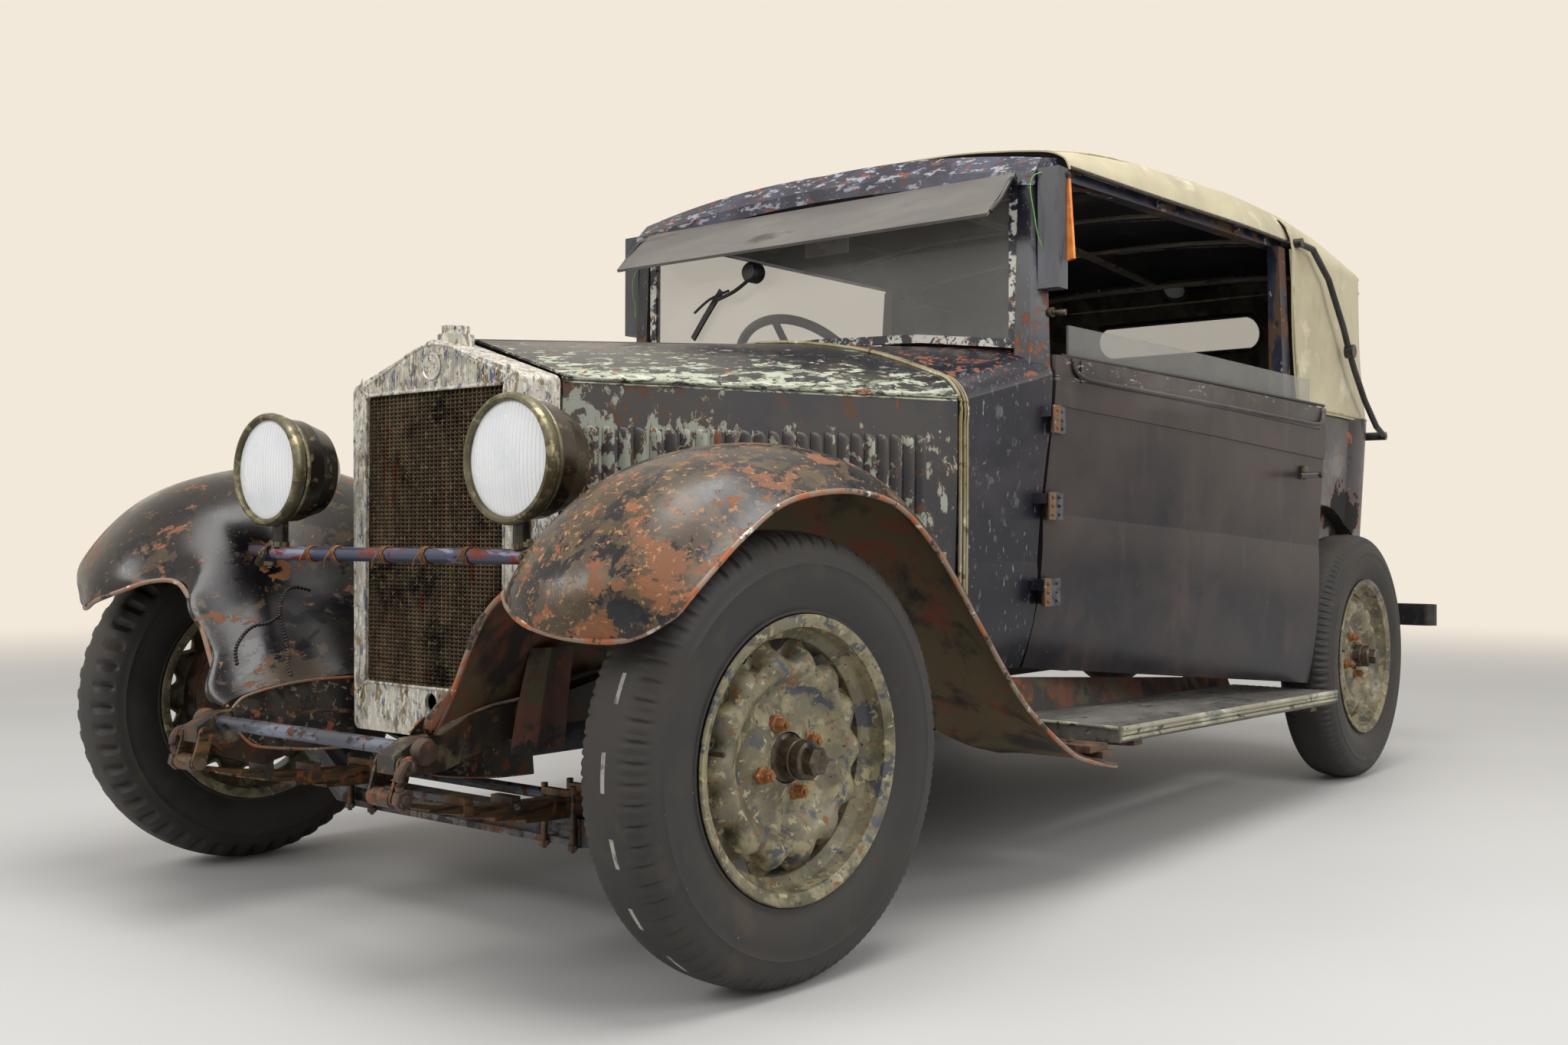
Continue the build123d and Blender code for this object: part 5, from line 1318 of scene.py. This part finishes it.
pane = [window_edge(math.tau * k / RING) for k in range(RING)]


def back_x(y, z):
    """The curtain's X at a point of the back."""
    t = (z - 1062) / 450
    ends = []
    for row in (U_BELT, U_TOP):
        for (xa, ya), (xb, yb) in zip(row, row[1:]):
            if ya >= abs(y) >= yb:
                ends.append(xa + (xb - xa) * (ya - abs(y)) / (ya - yb))
                break
    return ends[0] + (ends[1] - ends[0]) * t - 7


Heap().add(tube([(back_x(y, z) - 2, 18 + (y - 18) * 1.01, 1389 + (z - 1389) * 1.05) for y, z in pane], 9, 8, 2,
                closed=True)).make("rear_window_rim", black_trim)
edge_ring = [P(back_x(y, z) - 2, y, z) for y, z in pane]
piece("rear_window_pane", edge_ring + [p + Vector((-0.002, 0, 0)) for p in edge_ring], prism_faces(RING),
    window_glass)
lamp = Heap()
for rows, mark in (([(0, 0), (44, 0), (46, 5), (40, 13), (34, 15), (34, 12), (0, 12)], 0),
        ([(0, 12), (33, 12), (26, 19), (12, 23), (0, 24)], 1)):
    lamp.add(lathe(rows, lambda x, y, z: P(-2990 + 0.8 * y + 0.6 * z, 66 + x * 1.1, 1544 - 0.6 * y + 0.8 * z), 40,
        closed=False), mark)
lamp.make("roof_lamp", black_trim, lens_glass)

# Under the header: mirror, wiper and its motor, visor brackets; trafficator arms and their loose wires

odds = Heap()
odds.add(lathe([(0, 0), (22, 0), (26, 6), (26, 34), (20, 42), (0, 44)], lambda x, y,
    z: P(-1064 + y, -178 + x, 1352 + z), 24, closed=False))
odds.add(tube([(-1052, -196, 1340), (-1044, -240, 1312), (-1046, -300, 1296)], 5, 8, 4))
odds.add(tube([(-1047, -262, 1316), (-1050, -330, 1300), (-1056, -386, 1272)], 3.4, 6, 4))
odds.add(sweep(smooth_path([(-1062, -300, 1322), (-1062, -352, 1262), (-1063, -398, 1206)], 4),
    [(-3, -8), (3, -8), (1.5, 8), (-1.5, 8)]), 1)
odds.add(tube([(-1100, 12, 1470), (-1104, 0, 1452), (-1104, -6, 1430)], 4, 8, 4))
odds.add(brick(-1108, -1100, -58, 70, 1384, 1432), 2)
for side in (1, -1):
    odds.add(tube([(-1062, side * 548, 1484), (-1030, side * 562, 1470), (-990, side * 562, 1424),
        (-956, side * 556, 1392)], 5, 8, 4))
    odds.add(bolt((-1062, side * 552, 1480), (1, 0, 0), 9, 5, 10))
odds.make("screen_fittings", black_trim, wiper_rubber, mirror_back)

arms = Heap()
for side in (1, -1):
    arms.add(brick(-1119.5, -1117, side * 622, side * 648, 1262, 1470), 1)
    grid = [[P(-1124, side * (648 + 4), 1298), P(-1124, side * (672), 1302)],
        [P(-1124, side * (650), 1480), P(-1124, side * 660, 1478)]]
    arms.add(slab(grid, 0.010))
    arms.add(bolt((-1116, side * 656, 1486), (0, side, 0), 8, 4, 10), 1)
arms.make("trafficator_arms", amber, black_trim)


def loose_wire(name, points):
    """A thin wire along the points."""
    curve = bpy.data.curves.new(name, "CURVE")
    curve.dimensions, curve.bevel_depth, curve.bevel_resolution = "3D", 0.0011, 3
    spline = curve.splines.new("NURBS")
    spline.points.add(len(points) - 1)
    for spot, p in zip(spline.points, points):
        spot.co = (*P(*p), 1)
    spline.order_u, spline.use_endpoint_u = 3, True
    o = show(name, curve)
    wear(o, wire_green)
    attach(o, "car")
    dense = smooth_path(points, 8)
    real = sum((b - a).length for a, b in zip(dense, dense[1:])) / 1000
    P(*points[0])


WIRES = {"trafficator_wire_left": [(-1075, 616, 1489), (-1066, 608, 1488), (-1057, 600, 1477), (-1052, 599, 1455),
    (-1050, 605, 1424),
                                   (-1052, 610, 1397), (-1056, 613, 1361), (-1066, 616, 1335), (-1073, 620, 1322)],
         "trafficator_wire_right": [(-1082, -610, 1420), (-1068, -616, 1396), (-1062, -618, 1366),
             (-1064, -614, 1336),
                                    (-1066, -608, 1306), (-1062, -606, 1280)]}

# The cabin: bows in dusty wood, gauge panel, wheel boss, pedals

bows = Heap()
for x in BOWS[1:]:
    bows.add(sweep(roof_row(x, -15)[6:-6:3], [(-15, -6), (15, -6), (17, 0), (15, 6), (-15, 6), (-17, 0)]))
bows.add(sweep([Vector((x, 0, z)) for x, z in ((-1190, 1574), (-1700, 1588), (-2380, 1592), (-2960, 1556))],
    [(-16, -4), (16, -4), (16, 4), (-16, 4)]))
bows.make("hood_sticks", dusty_wood)

gauges = Heap()
for y, r in ((-300, 42), (-205, 30), (-395, 30), (0, 26)):
    def face(x, h, z, y=y):
        return P(-1129 - h, y + x, 1040 + z)
    gauges.add(lathe([(0, 0), (r + 3, 0), (r + 4, 4), (r, 7), (r - 2, 3), (0, 3)], face, 32, closed=False))
for y in (-130, -90, 60, 110):
    gauges.add(bar((-1129, y, 1030), (-1146, y, 1030), 7, 14))
gauges.make("dashboard_gauges", black_trim)

COLUMN = Vector((-math.cos(math.radians(40)), 0, math.sin(math.radians(40))))
hub = Vector((-1444, -330, 1123))
Heap().add(bar(hub + COLUMN * 18, hub + COLUMN * 30, 22, 24)).make("horn_button", black_trim, body="steering_wheel")

pedals = Heap()
for y in (-230, -330, -420):
    pedals.add(brick(-1000, -990, y - 28, y + 28, 560, 620))
    pedals.add(bar((-992, y, 590), (-900, y, 540), 8, 10))
pedals.make("pedals", chassis_iron)

# Running boards: the pale edge strip, ribs in the covering and the broken front with its bracket stub

for name, side in SIDES:
    strip = Heap()
    for z, r in ((-3, 6.0), (-12, 4.5), (-22, 4.5)):
        strip.add(tube([(-990, side * 846, 306 + z), (-1600, side * 846, 294.7 + z), (-2278, side * 846, 281 + z)], r,
            8, 3))
    strip.add(tube([(-984, side * 570, 306), (-986, side * 700, 307), (-985, side * 842, 306)], 4, 8, 3))
    strip.make("running_board_edge_" + name, board_edge)
    rib = pattern("board_rib", [Vector((x, y, z)) / 1000 for x in (0, -1286) for y,
        z in ((-3, 0), (3, 0), (2, 1.6), (-2, 1.6))],
                  [[0, 1, 2, 3], [7, 6, 5, 4], [0, 4, 5, 1], [1, 5, 6, 2], [2, 6, 7, 3], [3, 7, 4, 0]])
    for v in rib.data.vertices:
        v.co.z += v.co.x * 0.0209
    in_rows("board_ribs_" + name, rib, board_grey, P(-988, side * 600, 307.6), (0, side * 0.02, 0), 12)
stub = Heap()
stub.add(brick(-978, -900, 700, 822, 262, 276)).add(brick(-984, -940, 640, 830, 248, 262))
stub.add(bolt((-935, 760, 276), (0, 0, 1), 9, 6)).add(bolt((-960, 690, 262), (0, 0, 1), 9, 6))
stub.make("board_bracket_stub", rusty_iron)

# Front of the chassis: shackle pins, nuts and clips on the springs, the tube's ends, brake drum backs

front = Heap()
for side in (1, -1):
    front.add(bar((392, side * 250, 288), (392, side * 322, 288), 12, 16))
    front.add(bolt((392, side * 322, 288), (0, side, 0), 17, 12)).add(bolt((378, side * 318, 338), (0, side, 0), 15,
        10))
    front.add(lathe([(0, 0), (19, 0), (22, 5), (22, 16), (18, 22), (0, 24)], lambda x, y, z,
        side=side: P(344 + x, side * (306 + y), 356 + z), 20, closed=False))
    front.add(tube([(392, side * 322, 292), (400, side * 330, 318), (392, side * 330, 340), (378, side * 326, 342)],
        7, 8, 4))
    for x in (150, 250, -150, -260):
        z = 241.3 + (284 - 241.3) * (x / 392) ** 2
        front.add(brick(x - 9, x + 9, side * 284 - 27, side * 284 + 27, z - 18, z + 12), 1)
        front.add(bolt((x, side * (284 + 27), z - 4), (0, side, 0), 7, 5))
    for x in (-30.2, 30.2):
        for dy in (-36, 36):
            front.add(bolt((x, side * 284 + dy, 160), (0, 0, -1), 9, 8))
    front.add(tube([(300, side * 262, 330), (180, side * 258, 360), (60, side * 256, 352)], 5, 8, 4), 1)
front.make("front_spring_fittings", rusty_iron, chassis_iron)

for name, route in WIRES.items():
    loose_wire(name, route)


# The room, the light and the camera

WALL = "#F3E9DA"

def studio():
    """The air and the back wall, the floor that fades into it, three lamps and the photograph's camera."""
    world = bpy.data.worlds.new("studio_air")
    world.use_nodes = True
    bpy.context.scene.world = world
    t = world.node_tree
    t.nodes.clear()
    path = node(t, "ShaderNodeLightPath")
    seen = calc(t, "MAXIMUM", path.outputs["Is Camera Ray"], path.outputs["Is Transmission Ray"])
    seen = calc(t, "MAXIMUM", seen, path.outputs["Is Glossy Ray"])
    air = node(t, "ShaderNodeBackground", {"Color": linear("#F2F4F8"), "Strength": 0.62})
    wall = node(t, "ShaderNodeBackground", {"Color": linear(WALL), "Strength": 1.0})
    both = node(t, "ShaderNodeMixShader", {0: seen, 1: air.outputs[0], 2: wall.outputs[0]})
    node(t, "ShaderNodeOutputWorld", {"Surface": both.outputs[0]})
    bpy.context.scene.view_settings.view_transform = "Standard"

    mesh = bpy.data.meshes.new("studio_floor")
    bm = bmesh.new()
    bmesh.ops.create_circle(bm, cap_ends=True, segments=96, radius=14)
    bm.to_mesh(mesh)
    bm.free()
    ground = show("studio_floor", mesh)
    m = bpy.data.materials.new("painted_studio_floor")
    m.use_nodes = True
    t = m.node_tree
    shader = t.nodes["Principled BSDF"]
    place = node(t, "ShaderNodeTexCoord").outputs["Object"]
    cloud = node(t, "ShaderNodeTexNoise", {"Vector": place, "Scale": 1.2, "Detail": 5.0}).outputs[0]
    t.links.new(mix(t, cloud, linear("#CFCDC9"), linear("#C3C1BE"), colour=True), shader.inputs["Base Color"])
    shader.inputs["Roughness"].default_value = 0.6
    path = node(t, "ShaderNodeLightPath")
    far = on_points(t, "LENGTH", place, out=1)
    fade = node(t, "ShaderNodeMapRange", {0: far, 1: 4.0, 2: 10.0, 3: 0.0, 4: 1.0},
        interpolation_type="SMOOTHSTEP").outputs[0]
    glow = node(t, "ShaderNodeEmission", {"Color": linear(WALL), "Strength": 1.0})
    fac = calc(t, "MULTIPLY", fade, path.outputs["Is Camera Ray"])
    blend = node(t, "ShaderNodeMixShader", {0: fac, 1: shader.outputs[0], 2: glow.outputs[0]})
    t.links.new(blend.outputs[0], t.nodes["Material Output"].inputs["Surface"])
    wear(ground, m)

    for name, at, aim, size, power in (("lamp_above", (1.2, 1.2, 4.6), (0.3, 0, 0.7), 3.2, 145),
                                       ("lamp_front", (5.6, -1.6, 3.4), (1.5, 0, 0.6), 2.4, 85),
                                       ("lamp_side", (0.5, 5.6, 3.4), (-0.3, 0, 0.7), 3.0, 95)):
        light = bpy.data.lights.new(name, "AREA")
        light.shape, light.size, light.energy = "DISK", size, power
        lamp = show(name, light)
        lamp.location = at
        lamp.rotation_euler = (Vector(aim) - Vector(at)).to_track_quat("-Z", "Y").to_euler()

    data = bpy.data.cameras.new("photo_camera")
    data.lens, data.sensor_width = 34.46, 36.0
    data.clip_end = 100
    eye = show("photo_camera", data)
    eye.location = P(1822.5, 2222.6, 692.1)
    yaw, pitch, roll = 3.8179, 0.0099, 0.0027
    look = Vector((math.cos(pitch) * math.cos(yaw), math.cos(pitch) * math.sin(yaw), math.sin(pitch)))
    turn = look.to_track_quat("-Z", "Y") @ Matrix.Rotation(roll, 3, "Z").to_quaternion()
    eye.rotation_euler = turn.to_euler()
    bpy.context.scene.camera = eye


# Seats: boxes of boards, and pads that the cloth simulation swells from a slightly smaller block.
# The pleats and the border seam are pressed into the swollen form, and piping lies along its edge.

PLEAT, SWELL_MOST, VOXEL, SWELL_FRAMES = 0.062, 0.022, 0.011, 20          # metres, and frames


def baked(o):
    """Turns an object's modifiers into its mesh."""
    mesh = as_seen(o)
    o.modifiers.clear()
    o.data = mesh
    return mesh


def squared(c):
    """A cosine or sine, pushed out towards a square's corners."""
    return math.copysign(abs(c) ** 0.4, c)


def pad(name, wide, deep, thick, place):
    """A pad lying across, along and up; place takes it into the car."""
    b = bmesh.new()
    bmesh.ops.create_cube(b, size=1.0)
    for v in b.verts:
        v.co = Vector((v.co.x * (wide - 0.034), v.co.y * (deep - 0.034), (v.co.z + 0.5) * (thick - 0.022)))
    bmesh.ops.bevel(b, geom=b.edges[:], offset=0.03, segments=3, profile=0.5, affect="EDGES")
    mesh = bpy.data.meshes.new(name)
    b.to_mesh(mesh)
    b.free()
    o = show(name, mesh)
    voxels = o.modifiers.new("voxels", "REMESH")
    voxels.mode, voxels.voxel_size = "VOXEL", VOXEL
    mesh = baked(o)
    start = [v.co.copy() for v in mesh.vertices]
    held = o.vertex_groups.new(name="held")
    held.add([v.index for v in mesh.vertices if v.co.z < 0.014], 1.0, "REPLACE")
    cloth = o.modifiers.new("cloth", "CLOTH")
    cloth.settings.use_pressure = True
    cloth.settings.uniform_pressure_force = 4.0
    cloth.settings.effector_weights.gravity = 0.0
    cloth.settings.vertex_group_mass = "held"
    for frame_now in range(1, SWELL_FRAMES + 1):
        bpy.context.scene.frame_set(frame_now)
    mesh = baked(o)
    bpy.context.scene.frame_set(1)
    for v, was in zip(mesh.vertices, start):
        moved = v.co - was
        if moved.length > SWELL_MOST:
            v.co = was + moved * (SWELL_MOST / moved.length)
    finer = o.modifiers.new("finer", "SUBSURF")
    finer.levels = finer.render_levels = 1
    mesh = baked(o)
    normals = [v.normal.copy() for v in mesh.vertices]
    for v, n in zip(mesh.vertices, normals):
        inward = min(wide / 2 - abs(v.co.x), deep / 2 - abs(v.co.y))
        if n.z > 0.3:
            middle = min(1.0, max(0.0, (inward - 0.055) / 0.02))
            v.co.z -= 0.011 * middle * (1 - abs(math.sin(math.pi * v.co.x / PLEAT)) ** 0.55)
            v.co.z -= 0.006 * math.exp(-((inward - 0.05) / 0.006) ** 2)
    skin = BVHTree.FromPolygons([v.co.copy() for v in mesh.vertices], [p.vertices[:] for p in mesh.polygons])
    edge = []
    for k in range(56):
        a = math.tau * k / 56
        away = Vector((squared(math.cos(a)) * wide, squared(math.sin(a)) * deep, 0))
        hit = skin.ray_cast(away + Vector((0, 0, thick * 0.78)), -away.normalized())[0]
        if hit:
            edge.append(tuple(c * 1000 for c in place(hit) - Vector((ROW, 0, 0))))
    for v in mesh.vertices:
        v.co = place(v.co)
    for p in mesh.polygons:
        p.use_smooth = True
    wear(o, leather)
    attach(o, "car")
    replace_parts(o, "seats")
    piping = Heap().add(tube(edge, 4.5, 8, 2, closed=True))
    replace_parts(piping.make(name + "_piping", leather), "seats")


def seat(name, x, y, half, low, mid, deep, high):
    """A box, a board and two pads: front x, middle y, half width, floor, cushion, depth and top of the back."""
    foot, rise = P(x - deep + 40, y, low), Vector((-90, 0, high - low))
    lean, long = rise.normalized(), rise.length / 1000
    face = Vector((lean.z, 0, -lean.x))
    box = Heap()
    box.add(brick(x - deep + 60, x - 12, y - half + 12, y + half - 12, low, mid - 128))
    box.add(slab([[foot + lean * s - face * 0.1 + Vector((0, c, 0)) for s in (0.0, long * 0.5, long - 0.02)]
                  for c in (half / 1000 - 0.015, -half / 1000 + 0.015)], 0.016))
    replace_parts(box.make(name + "_box", wood), "seats")
    pad(name + "_cushion", half * 0.002 - 0.006, (deep - 50) / 1000, 0.128,
        lambda c: P(x - deep / 2 + 22, y, mid - 128) + Vector((-c.y, c.x, c.z)))
    pad(name + "_back", half * 0.002 - 0.01, long * 0.66, 0.098,
        lambda c: foot + lean * (long * 0.66 + c.y) + face * (c.z - 0.1) + Vector((0, c.x, 0)))


seat("seat_left", -1420, 300, 225, 470.2, 690, 490, 1060)
seat("seat_right", -1420, -300, 225, 470.2, 690, 490, 1060)
seat("seat_rear", -2420, 0, 430, 618.2, 810, 460, 1150)
studio()
